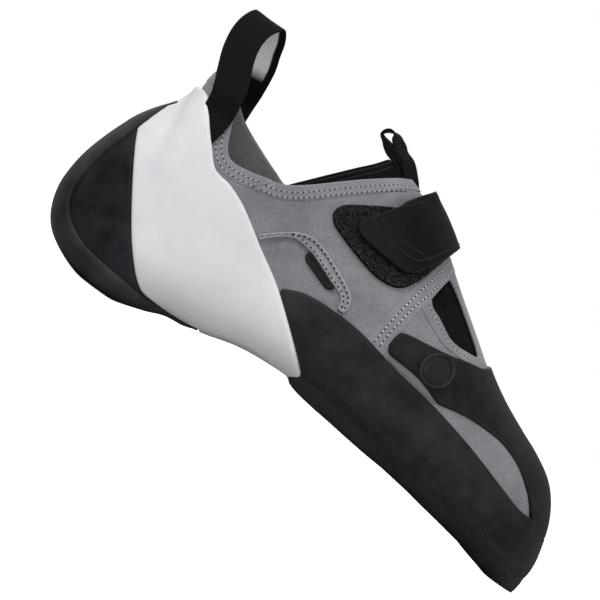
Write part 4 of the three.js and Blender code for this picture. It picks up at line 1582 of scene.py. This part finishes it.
@dataclass
class Lining:
    """What lies inside the upper: the lining board and the tongue."""

    shop: Workshop
    seams: Seams
    wall: float = 2.1
    board: Ply = Ply(2.0, -4.1)
    tongue: Ply = Ply(1.6, -3.7)
    stitch: Stitch = Stitch("thread_black", (1.3, 0.7, 0.3), pitch=2.4)
    stitch_insets: Span = (1.6, 3.6)
    stitch_span: Span = (76.0, 112.0)
    board_rim: Line = (
        (24, 8), (40, 7), (60, 10.5), (84, 15), (112, 19), (142, 19), (173, 16.5), (204, 13),
        (226, 9), (236, 8),
    )
    tongue_rear: Line = (
        (74, 69), (78, 76.2), (84.5, 84.1), (90, 90.7), (97, 99.1), (103, 106.4), (108, 115),
    )
    tongue_low: Line = (
        (197, 90), (197, 50), (180, 51), (160, 53), (135, 57), (105, 60), (84, 62), (74, 69),
    )

    def build(self) -> None:
        """Builds both."""
        seams = self.seams
        floor = seams.past_floor
        outline = seams.shape(seams.line(self.board_rim), seams.corners((236, floor), (24, floor)))
        board = self.shop.skin.field(outline)
        self.shop.lay("lining_board", board, self.board, "dark_lining", "lining", ["insole"])
        top = seams.past_top
        outline = seams.shape(
            seams.line(self.tongue_rear), seams.corners((108, top), (197, top)),
            seams.corners(*self.tongue_low))
        tongue = self.shop.skin.field(outline)
        self.shop.lay("knit_tongue", tongue, self.tongue, "black_knit", "knit", ["tongue"])
        rear = between_x(seams.line(self.tongue_rear), *self.stitch_span)
        rows = [(aside(rear, -inset), Flank.OUTER, -self.wall + ON_SKIN) for inset in self.stitch_insets]
        self.shop.sewn("tongue_stitches", rows, self.stitch, "black_knit")


@dataclass
class SoleRubber:
    """The rand, the arch cover and the half outsole."""

    shop: Workshop
    seams: Seams
    rand: float = 1.85
    arch: Ply = Ply(1.85, radius=1.2, edge=0.1)
    blend: float = 5.0
    tip_drop: float = 0.8
    tip_reach: float = 1.6
    outsole: float = 4.6
    sanded: float = 5.2
    sanded_blur: float = 1.4
    rand_rear: float = 126.6
    rand_beside: Span = (100.5, 128.6)
    arch_rear: float = 84.2
    arch_front: float = 126.2
    tip_drop_span: Span = (200.0, 246.0)
    tip_reach_span: Span = (236.0, 249.0)
    outsole_gap: float = 0.08
    outsole_lip: float = 0.6
    outsole_wall: float = 0.5
    outsole_top: Line = (
        (121, 11.8), (124.6, 12.1), (129, 15.3), (140, 15.4), (157, 13.9), (173, 12.6), (189, 11),
        (204, 8.8), (218, 6.2), (230, 3.9), (240, 2.4), (262, 1.6),
    )
    skive: Line = ((121, 12), (124, 11.5), (126, 10.4), (132, 9), (138, 8.1), (145, 6.8))

    def build(self) -> None:
        """Builds the three."""
        seams = self.seams
        floor = seams.past_floor
        front = seams.corners((seams.past_toe, floor), (self.rand_rear, floor), (self.rand_rear, 9))
        beside = seams.line(seams.band_front)[::-1]
        beside = between_x(beside, *self.rand_beside)
        outline = seams.shape(seams.line(seams.rand_top), seams.line(seams.toe_seam)[1:], front, beside)
        rand = self.shop.skin.field(outline, stand=LAYER_TOP)
        cut = self.shop.skin.cut(rand, [0.05, 0.2, 0.5, 1.0, 1.8])
        tip = toward_tip(cut)
        made = layer(cut, ON_SKIN, self.rand * rounded(cut.rim, 1.7 - 1.3 * tip, 0.3 + 0.45 * tip))
        edge = seams.line(self.outsole_top)
        limit = np.interp(made.points[:, 0], edge[:, 0], edge[:, 1]) + self.sanded
        made.sanded = ramp(limit - made.points[:, 2], -self.sanded_blur, self.sanded_blur)
        self.shop.fit("rand_rubber", made, "black_rubber", ["rubber"], ["rand"])
        below = seams.corners(
            (self.arch_front, 11.6), (self.arch_front, floor), (self.arch_rear, floor))
        outline = seams.shape(seams.line(seams.band_under), below)
        arch = self.shop.skin.field(outline, stand=LAYER_TOP)
        self.shop.lay("arch_rubber", arch, self.arch, "pale_rubber", "arch", ["arch_cover"])
        self._outsole()

    def _outsole(self) -> None:
        """The outsole, ground flush with the rand, skived at its rear and flat where it stands."""
        seams = self.seams
        skin = self.shop.skin
        floor = seams.past_floor
        edge = seams.line(self.outsole_top)
        outline = seams.shape(edge, seams.corners((seams.past_toe, floor), (124.5, floor)))
        p = skin.points + skin.normals * LAYER_TOP
        share = ramp(np.interp(p[:, 0], edge[:, 0], edge[:, 1]) - p[:, 2], -0.5, self.blend)
        tip = ramp(p[:, 0], *self.tip_drop_span)
        spots = p + skin.normals * (self.outsole_gap + self.outsole_lip * share)[:, None]
        spots[:, 2] -= (self.outsole + self.tip_drop * tip) * share
        spots[:, 0] += self.tip_reach * ramp(p[:, 0], *self.tip_reach_span) * share
        place = skin.field(outline, spots=spots)
        cut = skin.cut(place, [0.02, 0.5, 1.5, 3.0], spots)
        wall = np.full(len(cut.points), self.outsole_wall)
        shape = layer(cut, -self.outsole_wall, wall, backed=False)
        slope = seams.line(self.skive)
        low = np.interp(shape.points[:, 0], slope[:, 0], slope[:, 1])
        low = np.where(shape.points[:, 0] > slope[-1, 0], -1.0, low)
        low = np.maximum(low, 0.0)
        bottom = np.concatenate([cut.normals[:, 2] < 0.2] * 2)
        heights = shape.points[:, 2]
        shape.points[:, 2] = np.where(bottom, low + held_up(heights - low), heights)
        self.shop.fit("outsole_rubber", shape, "black_rubber", ["ground"], ["outsole"])


@dataclass
class HeelRubber:
    """The heel cup, its wear strip and the pale tension band."""

    shop: Workshop
    seams: Seams
    cup: Ply = Ply(1.85, radius=0.9)
    band: Ply = Ply(2.25, radius=1.1)
    strip: float = 2.05
    strip_base: float = 1.95
    strip_front: float = 82.0
    cup_front: float = 83.8
    behind_top: float = 78.7
    strip_edge: Line = (
        (15.6, 59), (13.4, 51), (11.2, 43), (10, 35), (9.8, 27), (11, 21), (14.2, 16), (20, 11.8),
        (28, 9), (38, 7.7), (50, 6.9), (56, 6.2), (60, 6), (69, 6.4), (76, 7), (82, 7.6),
    )

    def _behind(self, edge: Array, front: float) -> Field:
        """What lies behind an edge, down to the underside and round the heel."""
        seams = self.seams
        corners = seams.corners(
            (front, seams.past_floor), (seams.past_heel, seams.past_floor),
            (seams.past_heel, self.behind_top))
        return self.shop.skin.field(seams.shape(edge, corners), stand=LAYER_TOP)

    def build(self) -> None:
        """Builds the three."""
        seams = self.seams
        top = seams.line(seams.band_rear_top)
        edge = np.vstack([top, seams.line(seams.band_rear_low)[1:]])
        cup = self._behind(edge, self.cup_front)
        self.shop.lay("heel_cup_rubber", cup, self.cup, "black_rubber", "cup", ["heel_cup"])
        strip = self._behind(np.vstack([top, seams.line(self.strip_edge)]), self.strip_front)
        cut = self.shop.skin.cut(strip, [0.05, 0.3, 0.8, 1.5, 2.6, 4.0])
        x, _, z = cut.points.T
        soft = 1.3 + 3.4 * ramp(-z, -34, -14)
        ends = (1 - 0.5 * ramp(x, 60, 70) - 0.45 * ramp(x, 76, 82.5)) * (1 - 0.85 * ramp(z, 62, 80))
        shape = layer(cut, self.strip_base, self.strip * ends * rounded(cut.rim, soft, 0.12))
        z = shape.points[:, 2]
        shape.points[:, 2] = np.where(z < 3, held_up(z), z)
        self.shop.fit("heel_strip_rubber", shape, "black_rubber", ["strip"], ["heel_strip"])
        outline = seams.shape(
            seams.line(seams.band_front), seams.line(seams.band_under)[::-1],
            seams.line(seams.band_rear_low)[::-1], top[::-1])
        band = self.shop.skin.field(outline, stand=LAYER_TOP)
        self.shop.lay("tension_band_rubber", band, self.band, "pale_rubber", "pale", ["tension_band"])


@dataclass
class ToeRubber:
    """The toe patch with its arm, the arm's stitches and a plain roundel."""

    shop: Workshop
    seams: Seams
    thickness: float = 1.45
    tip_extra: float = 0.35
    roundel: Triple = (170.9, 49.6, 7.0)
    roundel_base: float = 0.1
    roundel_ring: float = 1.1
    dot_pitch: float = 1.15
    dot_row: float = 0.87
    dot_size: Triple = (0.75, 0.75, 0.42)
    dot_base: float = 0.45
    dots_each_way: int = 5
    dots_edge: float = 2.7
    stitch: Stitch = Stitch("thread_black", (1.2, 0.6, 0.25), pitch=1.8)
    low: Line = (
        (239.5, 24.8), (235, 30.2), (230, 34.5), (222, 39.8), (212, 43.3), (203, 44), (195, 43.6),
        (188, 42.5), (182, 41), (178, 40.6), (172, 42.6), (165, 44.1), (152, 44.4),
    )
    top: Line = (
        (152, 44.4), (149.6, 46.4), (149.2, 50), (150.2, 54.2), (153.5, 55.8), (162, 57.3), (172, 59.2),
        (180, 61.4), (188, 63.5), (193, 70),
    )
    arm_stitches: Line = ((153.8, 54), (151.7, 50.6), (152.3, 47.4), (158, 46.3), (165, 46.1))
    top_inner: Line = ((188, 39.5), (183, 43), (181.5, 50), (183, 58), (188, 63.5), (193, 70))

    def build(self) -> None:
        """Builds the patch, its stitches and the roundel."""
        seams = self.seams
        beyond = seams.corners((seams.past_toe, 70), (seams.past_toe, 18.6))
        seam = seams.line(seams.toe_seam)[::-1]
        outer = seams.shape(seam, seams.line(self.low)[1:], seams.line(self.top)[1:], beyond)
        low = seams.line(seams.rand_top[-4:])[::-1]
        inner = seams.shape(seam, low[1:-1], seams.line(self.top_inner)[1:], beyond)
        patch = self.shop.skin.field(outer, inner, stand=LAYER_TOP)
        cut = self.shop.skin.cut(patch, [0.05, 0.2, 0.5, 1.0, 1.5])
        tip = toward_tip(cut)
        height = (self.thickness + self.tip_extra * tip) * rounded(cut.rim, 1.4 - tip, 0.3 + 0.45 * tip)
        shape = layer(cut, ON_SKIN, height)
        self.shop.fit("toe_patch_rubber", shape, "black_rubber", ["patch"], ["toe_patch"])
        rows = [(seams.line(self.arm_stitches), Flank.OUTER, self.thickness)]
        self.shop.sewn("toe_arm_stitches", rows, self.stitch, "black_rubber")
        self._roundel()

    def _roundel(self) -> None:
        """A disc with a raised ring, and its dots."""
        seams = self.seams
        x, z, radius = self.roundel
        centre = seams.last.side([(x, z)])[0]
        turn = np.linspace(0, 2 * math.pi, 49)[:-1]
        circle = centre + radius * np.stack([np.cos(turn), np.sin(turn)], axis=1)
        disc = self.shop.skin.field(circle, reach=0.0)
        cut = self.shop.skin.cut(disc, [0.02, 0.25, 0.6, 0.95, 1.3, 1.7, 2.2])
        ring = ramp(cut.rim, 0, 0.4) * (1 - 0.8 * ramp(cut.rim, 0.7, 1.2))
        ring = ring + 0.35 * ramp(cut.rim, 1.5, 2.2)
        shape = layer(cut, self.thickness, self.roundel_base + self.roundel_ring * ring)
        self.shop.fit("toe_roundel", shape, "black_rubber", ["roundel"])
        self._dots(centre)

    def _dots(self, centre: Array) -> None:
        """Plain rows of small raised dots over the roundel's middle."""
        steps = np.arange(-self.dots_each_way, self.dots_each_way + 1)
        across, along = np.meshgrid(steps, steps)
        spots = np.stack([(across + 0.5 * (along % 2)).ravel(), along.ravel() * self.dot_row], axis=1)
        spots = spots * self.dot_pitch
        spots = spots[np.linalg.norm(spots, axis=1) < self.roundel[2] - self.dots_edge] + centre
        points, normals = self.shop.skin.drop(spots, Flank.OUTER)
        points = points + normals * (self.thickness + self.dot_base)
        ways = np.tile(np.array([1.0, 0.0, 0.0]), (len(points), 1))
        made = stamped(pebble(*self.dot_size), points, ways, normals)
        self.shop.fit("toe_roundel_dots", made, "black_rubber", ["roundel"])


@dataclass
class Closure:
    """The loop pad and the closing strap."""

    shop: Workshop
    seams: Seams
    pad: Ply = Ply(2.0, radius=1.1, edge=0.35)
    strap: float = 3.0
    strap_base: float = 2.4
    strap_inner_base: float = 0.25
    strap_lands: Span = (8.0, 30.0)
    stitch: Stitch = Stitch("thread_black", (1.6, 0.75, 0.5))
    fibres: int = 2600
    fibre_radius: float = 0.42
    fibre_twist: float = 0.12
    fibre_thread: float = 0.055
    seed: int = 7
    pad_outline: Line = (
        (149.3, 92.5), (146.3, 81.5), (143.5, 74), (139, 68.3), (131, 66.4), (122, 67.6), (108, 71.9),
        (102, 74.9), (99.9, 78.8), (102, 83.1), (108, 87.2), (118, 93.4), (128, 98), (140, 98),
    )
    strap_outer: Line = (
        (129.4, 118), (128.6, 110), (124, 102.6), (118, 91.5), (114, 86.1), (111.2, 81.9),
        (111.2, 79), (114, 76.8), (120, 75.6), (131, 74.8), (137, 74.9), (141, 77), (144, 81.5),
        (147, 87.5), (150.3, 95.5), (151.3, 104),
    )
    strap_inner: Line = (
        (129.4, 118), (128.6, 110), (122, 98), (116, 86), (112, 74), (110, 62), (109, 50),
        (133, 48), (135, 58), (138, 68), (143, 80), (147, 89), (150.3, 95.5), (151.3, 104),
    )
    border_stitches: Line = (
        (127, 104.5), (121, 94), (116.4, 86.8), (114.2, 82.6), (116, 80.2), (121, 78.9), (131, 78),
        (137.4, 78.3), (140.3, 81), (143.4, 86.3), (146, 93),
    )
    end_stitches: Line = ((114.6, 84.8), (121, 82.6), (131, 81.4), (141.4, 81.6))

    def build(self) -> None:
        """Builds the pad with its fibres, the strap and its stitches."""
        seams = self.seams
        skin = self.shop.skin
        pad = skin.field(seams.loop(self.pad_outline), reach=0.0, stand=LAYER_TOP)
        self.shop.lay("loop_pad", pad, self.pad, "black_loop_fabric", "pad", ["closure_pad"])
        top = self.strap_base + self.strap
        over = skin.field(seams.loop(self.strap_outer), seams.loop(self.strap_inner), stand=top)
        self._fibres(pad.shrunk(0.3).within(over.shrunk(0.8).outside()))
        self._strap(over)

    def _fibres(self, place: Field) -> None:
        """Tiny loops that stand on the pad where the strap leaves it open."""
        cut = self.shop.skin.cut(place, [0.0])
        a, b, c = (cut.points[cut.triangles[:, k]] for k in range(3))
        size = np.linalg.norm(np.cross(b - a, c - a), axis=1)
        chance = np.random.default_rng(self.seed)
        pick = chance.choice(len(size), self.fibres, p=size / size.sum())
        u, v = chance.random((2, self.fibres, 1))
        flip = (u + v) > 1
        u = np.where(flip, 1 - u, u)
        v = np.where(flip, 1 - v, v)
        spots = a[pick] * (1 - u - v) + b[pick] * u + c[pick] * v
        normals = cut.normals[cut.triangles[pick, 0]]
        way = unit(np.cross(normals, chance.normal(size=spots.shape)))
        spots = spots + normals * (self.pad.height - 0.05 - 0.15 * chance.random((self.fibres, 1)))
        made = stamped(self._fibre(), spots, way, normals)
        self.shop.fit("loop_pad_fibres", made, "black_loop_fabric", ["fibre"])

    def _fibre(self) -> Shape:
        """One loop: a thin three-sided tube bent into an arch."""
        turn = np.linspace(-0.2, math.pi + 0.2, 6)
        radial = np.stack([np.cos(turn), np.zeros(6), np.sin(turn)], axis=1)
        middle = self.fibre_radius * radial
        middle[:, 1] = self.fibre_twist * np.sin(2 * turn)
        sides = (np.arange(3) * 2 * math.pi / 3)[None, :, None]
        around = radial[:, None] * np.cos(sides) + np.array([0, 1.0, 0]) * np.sin(sides)
        rings = middle[:, None] + self.fibre_thread * around
        i = np.arange(5)[:, None] * 3
        j = np.arange(3)
        k = (j + 1) % 3
        first = np.stack([i + j, i + k, i + 3 + j], -1).reshape(-1, 3)
        second = np.stack([i + k, i + 3 + k, i + 3 + j], -1).reshape(-1, 3)
        return Shape(rings.reshape(-1, 3), np.vstack([first, second]))

    def _strap(self, over: Field) -> None:
        """The strap, which lies down on the upper on the inner side."""
        skin = self.shop.skin
        cut = skin.cut(over, [0.05, 0.12, 0.25, 0.45, 1.3])
        across = ramp(cut.points[:, 1], *self.strap_lands)
        base = self.strap_base * (1 - across) + self.strap_inner_base * across
        shape = layer(cut, base, self.strap * rounded(cut.rim, 0.4, 0.8))
        self.shop.fit("closing_strap", shape, "black_strap", ["strap"], ["strap"])
        top = self.strap_base + self.strap
        lines = (self.border_stitches, self.end_stitches)
        rows = [(self.seams.line(line), Flank.OUTER, top) for line in lines]
        self.shop.sewn("strap_stitches", rows, self.stitch, "black_strap")


@dataclass
class PullLoops:
    """The webbing loops at the heel and on the tongue."""

    shop: Workshop
    seams: Seams
    heel_width: float = 14.2
    heel_half: float = 27.9
    heel_turn: float = 0.35
    tongue_width: float = 11.0
    tongue_middle: float = 3.1
    thickness: float = 1.1
    clear: float = 1.4
    clear_shares: Triple = (0.1, 0.8, 1.0)
    outer_foot: Line = ((37, 71), (38.2, 77), (38.8, 84))
    inner_foot: Line = ((41.2, 86), (41.4, 80), (41.8, 72))
    outer_leg: tuple[Triple, ...] = (
        (37.8, 91.4, 0.92), (36.2, 96.4, 0.85), (33.8, 101.4, 0.75), (30.9, 108.4, 0.65),
        (29.4, 115.4, 0.52), (29.8, 122, 0.3),
    )
    top: Triple = (32.4, 126.8, 0)
    inner_leg: tuple[Triple, ...] = (
        (35.4, 122.6, 0.28), (37.2, 116, 0.48), (39.2, 109.4, 0.6), (40.2, 101.4, 0.72),
        (40.6, 94.4, 0.88),
    )
    tongue_route: tuple[Triple, ...] = (
        (118.4, 103.6, 1), (115, 106.4, 1), (108.9, 109.7, 1.05), (104.2, 111.8, 1.2),
        (100, 113.9, 0.7), (96.7, 115.8, 0.1), (97.9, 118.3, 0.15), (100.8, 118.8, 0.4),
        (103.6, 116.9, 0.8), (107.2, 114.4, 1.1), (112, 111.9, 1), (117, 107.2, 0.9),
        (119.8, 103.6, 0.9),
    )

    def _standing(self, rows: Sequence[Triple], sign: float) -> Array:
        """Points over the heel, from table parts and shares of the heel's half width."""
        side = self.seams.last.side([row[:2] for row in rows])
        aside_by = np.array([row[2] for row in rows]) * sign * self.heel_half
        return np.column_stack([side[:, 0], aside_by, side[:, 1]])

    def build(self) -> None:
        """Builds both loops."""
        skin = self.shop.skin
        last = self.seams.last
        outer, _ = skin.drop(last.side(self.outer_foot), Flank.OUTER)
        inner, _ = skin.drop(last.side(self.inner_foot), Flank.INNER)
        outer[:, 1] -= self.clear * np.array(self.clear_shares)
        inner[:, 1] += self.clear
        knots = np.vstack([
            outer, self._standing(self.outer_leg, -1), self._standing([self.top], 1),
            self._standing(self.inner_leg, 1), inner,
        ])
        route = evenly(smooth_line(knots, 12), 1.0)
        turned = self.heel_turn * route[:, 1] / self.heel_half
        wide = np.column_stack([np.ones(len(route)), turned, np.zeros(len(route))])
        shape = swept(route, wide, self.heel_width, self.thickness)
        self.shop.fit("heel_pull_loop", shape, "black_webbing", ["webbing", "webbing_pale"], ["heel_loop"])
        side = last.side([row[:2] for row in self.tongue_route])
        turn = np.array([row[2] for row in self.tongue_route])
        knots = np.column_stack([side[:, 0], np.full(len(side), self.tongue_middle), side[:, 1], turn])
        route = evenly(smooth_line(knots, 12), 0.8)
        wide = np.column_stack([route[:, 3], np.ones(len(route)), np.zeros(len(route))])
        shape = swept(route[:, :3], wide, self.tongue_width, self.thickness)
        self.shop.fit("tongue_pull_loop", shape, "black_webbing", ["webbing"], ["tongue_loop"])


@dataclass
class Studio:
    """Floor, lights, backdrop light and the camera."""

    tilt: float = 36.5
    rise: float = 0.8
    distance: float = 1.6
    target: Triple = (0.0721, 0.0, 0.0457)
    frame_width: float = 0.2455
    sensor: float = 36.0
    world: float = 0.4
    key: float = 36.0
    front: float = 15.0
    side: float = 12.0
    back: float = 14.0
    floor_reach: float = 20.0
    floor_greys: tuple[float, float] = (0.5, 0.54)

    def build(self) -> None:
        """Builds the whole studio."""
        self._floor()
        self._world()
        self._lamp("key_light", (-0.95, -1.1, 1.7), 1.5, self.key)
        self._lamp("front_light", (0.3, -2.4, 0.7), 2.2, self.front)
        self._lamp("side_light", (1.8, -0.6, 0.9), 1.2, self.side)
        self._lamp("back_light", (-0.6, 2.2, 1.2), 1.8, self.back)
        self._camera()
        bpy.context.scene.view_settings.view_transform = "Standard"

    def _floor(self) -> None:
        """A plain pale floor, which looks as white as the backdrop."""
        mesh = bpy.data.meshes.new("floor")
        reach = self.floor_reach
        corners = [(-reach, -reach, 0), (reach, -reach, 0), (reach, reach, 0), (-reach, reach, 0)]
        mesh.from_pydata(corners, [], [(0, 1, 2, 3)])
        floor = placed("floor", mesh)
        made, graph, shader = begin("pale_floor", Roughness=1.0, Specular_IOR_Level=0.0)
        low, high = ((grey, grey, grey, 1) for grey in self.floor_greys)
        graph.join(graph.between(graph.noise(3.0, 2), low, high), shader.inputs["Base Color"])
        seen = graph.add("ShaderNodeLightPath").outputs["Is Camera Ray"]
        graph.join(seen, shader.inputs["Emission Strength"])
        shader.inputs["Emission Color"].default_value = (1, 1, 1, 1)
        mesh.materials.append(made)

    def _world(self) -> None:
        """White to the camera, softer as light."""
        world = bpy.data.worlds.new("studio")
        world.use_nodes = True
        graph = Graph(world.node_tree)
        world.node_tree.nodes.clear()
        seen = graph.add("ShaderNodeBackground", {"Color": (1, 1, 1, 1), "Strength": 1.0})
        cast = graph.add("ShaderNodeBackground", {"Color": (1, 1, 1, 1), "Strength": self.world})
        path = graph.add("ShaderNodeLightPath").outputs["Is Camera Ray"]
        both = graph.add("ShaderNodeMixShader", {0: path, 1: cast.outputs[0], 2: seen.outputs[0]})
        graph.add("ShaderNodeOutputWorld", {"Surface": both.outputs[0]})
        bpy.context.scene.world = world

    def _lamp(self, name: str, place: Triple, size: float, power: float) -> None:
        """Adds a soft square light that looks at the shoe."""
        data = bpy.data.lights.new(name, "AREA")
        data.shape = "SQUARE"
        data.size = size
        data.energy = power
        lamp = placed(name, data)
        lamp.location = place
        toward = Vector(self.target) - Vector(place)
        lamp.rotation_euler = toward.to_track_quat("-Z", "Y").to_euler()

    def _camera(self) -> None:
        """The camera on the outer side, rolled so that the toe points down to the right."""
        data = bpy.data.cameras.new("camera")
        data.sensor_width = self.sensor
        data.lens = self.sensor * self.distance / self.frame_width
        data.clip_end = 60.0
        camera = placed("camera", data)
        rise = math.radians(self.rise)
        tilt = math.radians(self.tilt)
        ahead = Vector((0, math.cos(rise), -math.sin(rise)))
        level = Vector((1, 0, 0))
        above = level.cross(ahead)
        right = level * math.cos(tilt) + above * math.sin(tilt)
        up = above * math.cos(tilt) - level * math.sin(tilt)
        turn = Matrix((right, up, -ahead)).transposed().to_4x4()
        camera.matrix_world = Matrix.Translation(Vector(self.target) - ahead * self.distance) @ turn
        bpy.context.scene.camera = camera


FOLDS: tuple[Fold, ...] = (
    # The hollow down the middle of the side seam.
    Fold(
        ((86, 56.5), (91, 62), (96, 63.6), (102, 62.8), (108, 60.8), (116, 57.6), (121, 55.2),
         (123.4, 51.6)),
        1.4, -0.9,
    ),
    # A slight swell on both sides of the heel's back edge.
    Fold(((23.5, 66), (25.5, 72), (26.6, 77), (27.2, 83)), 3.2, 0.3, Flank.BOTH),
    # The roll of cloth at the collar's front end.
    Fold(((116, 103.5), (121, 105.5), (126, 108)), 3.5, 1.6),
    # The fuller lower corner of the toe.
    Fold(((257, -6), (257, 1.5)), 8, 6, Flank.BOTH),
    # The swell of the cloth below the tag.
    Fold(((104, 54), (112, 53), (119, 52)), 5, 0.35),
    # The swell of the band over the arch.
    Fold(((58, 24), (70, 21), (84, 19)), 6, 0.3, Flank.BOTH),
    # A trough along the rand, and the ridge above it.
    Fold(((150, 27), (175, 24.5), (200, 19), (222, 14)), 3.5, -0.35, Flank.BOTH),
    Fold(((128, 34), (152, 36), (178, 34), (205, 28)), 6, 0.4, Flank.BOTH),
    # Two shallow dips, beside the toes and near the tip.
    Fold(((196, 50), (206, 54), (216, 52)), 4, -0.3, Flank.BOTH),
    Fold(((228, 22), (238, 20), (245, 16)), 3, -0.25, Flank.BOTH),
)


def main() -> None:
    """Loads the frame and builds the shoe round it, one sub-assembly after another."""
    logging.basicConfig(level=logging.INFO, format="%(name)s: %(message)s")
    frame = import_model()
    seams = Seams()
    shop = Workshop(Skin(folds=FOLDS), Finishes())
    LOG.info("%d solids to dress, skin of %d points", len(frame["nodes"]), len(shop.skin.points))
    for assembly in (
        UpperShell(shop, seams), Lining(shop, seams), SoleRubber(shop, seams), HeelRubber(shop, seams),
        ToeRubber(shop, seams), Closure(shop, seams), PullLoops(shop, seams),
    ):
        assembly.build()
        LOG.info("%s is built", type(assembly).__name__)
    Studio().build()


if __name__ == "__main__":
    main()
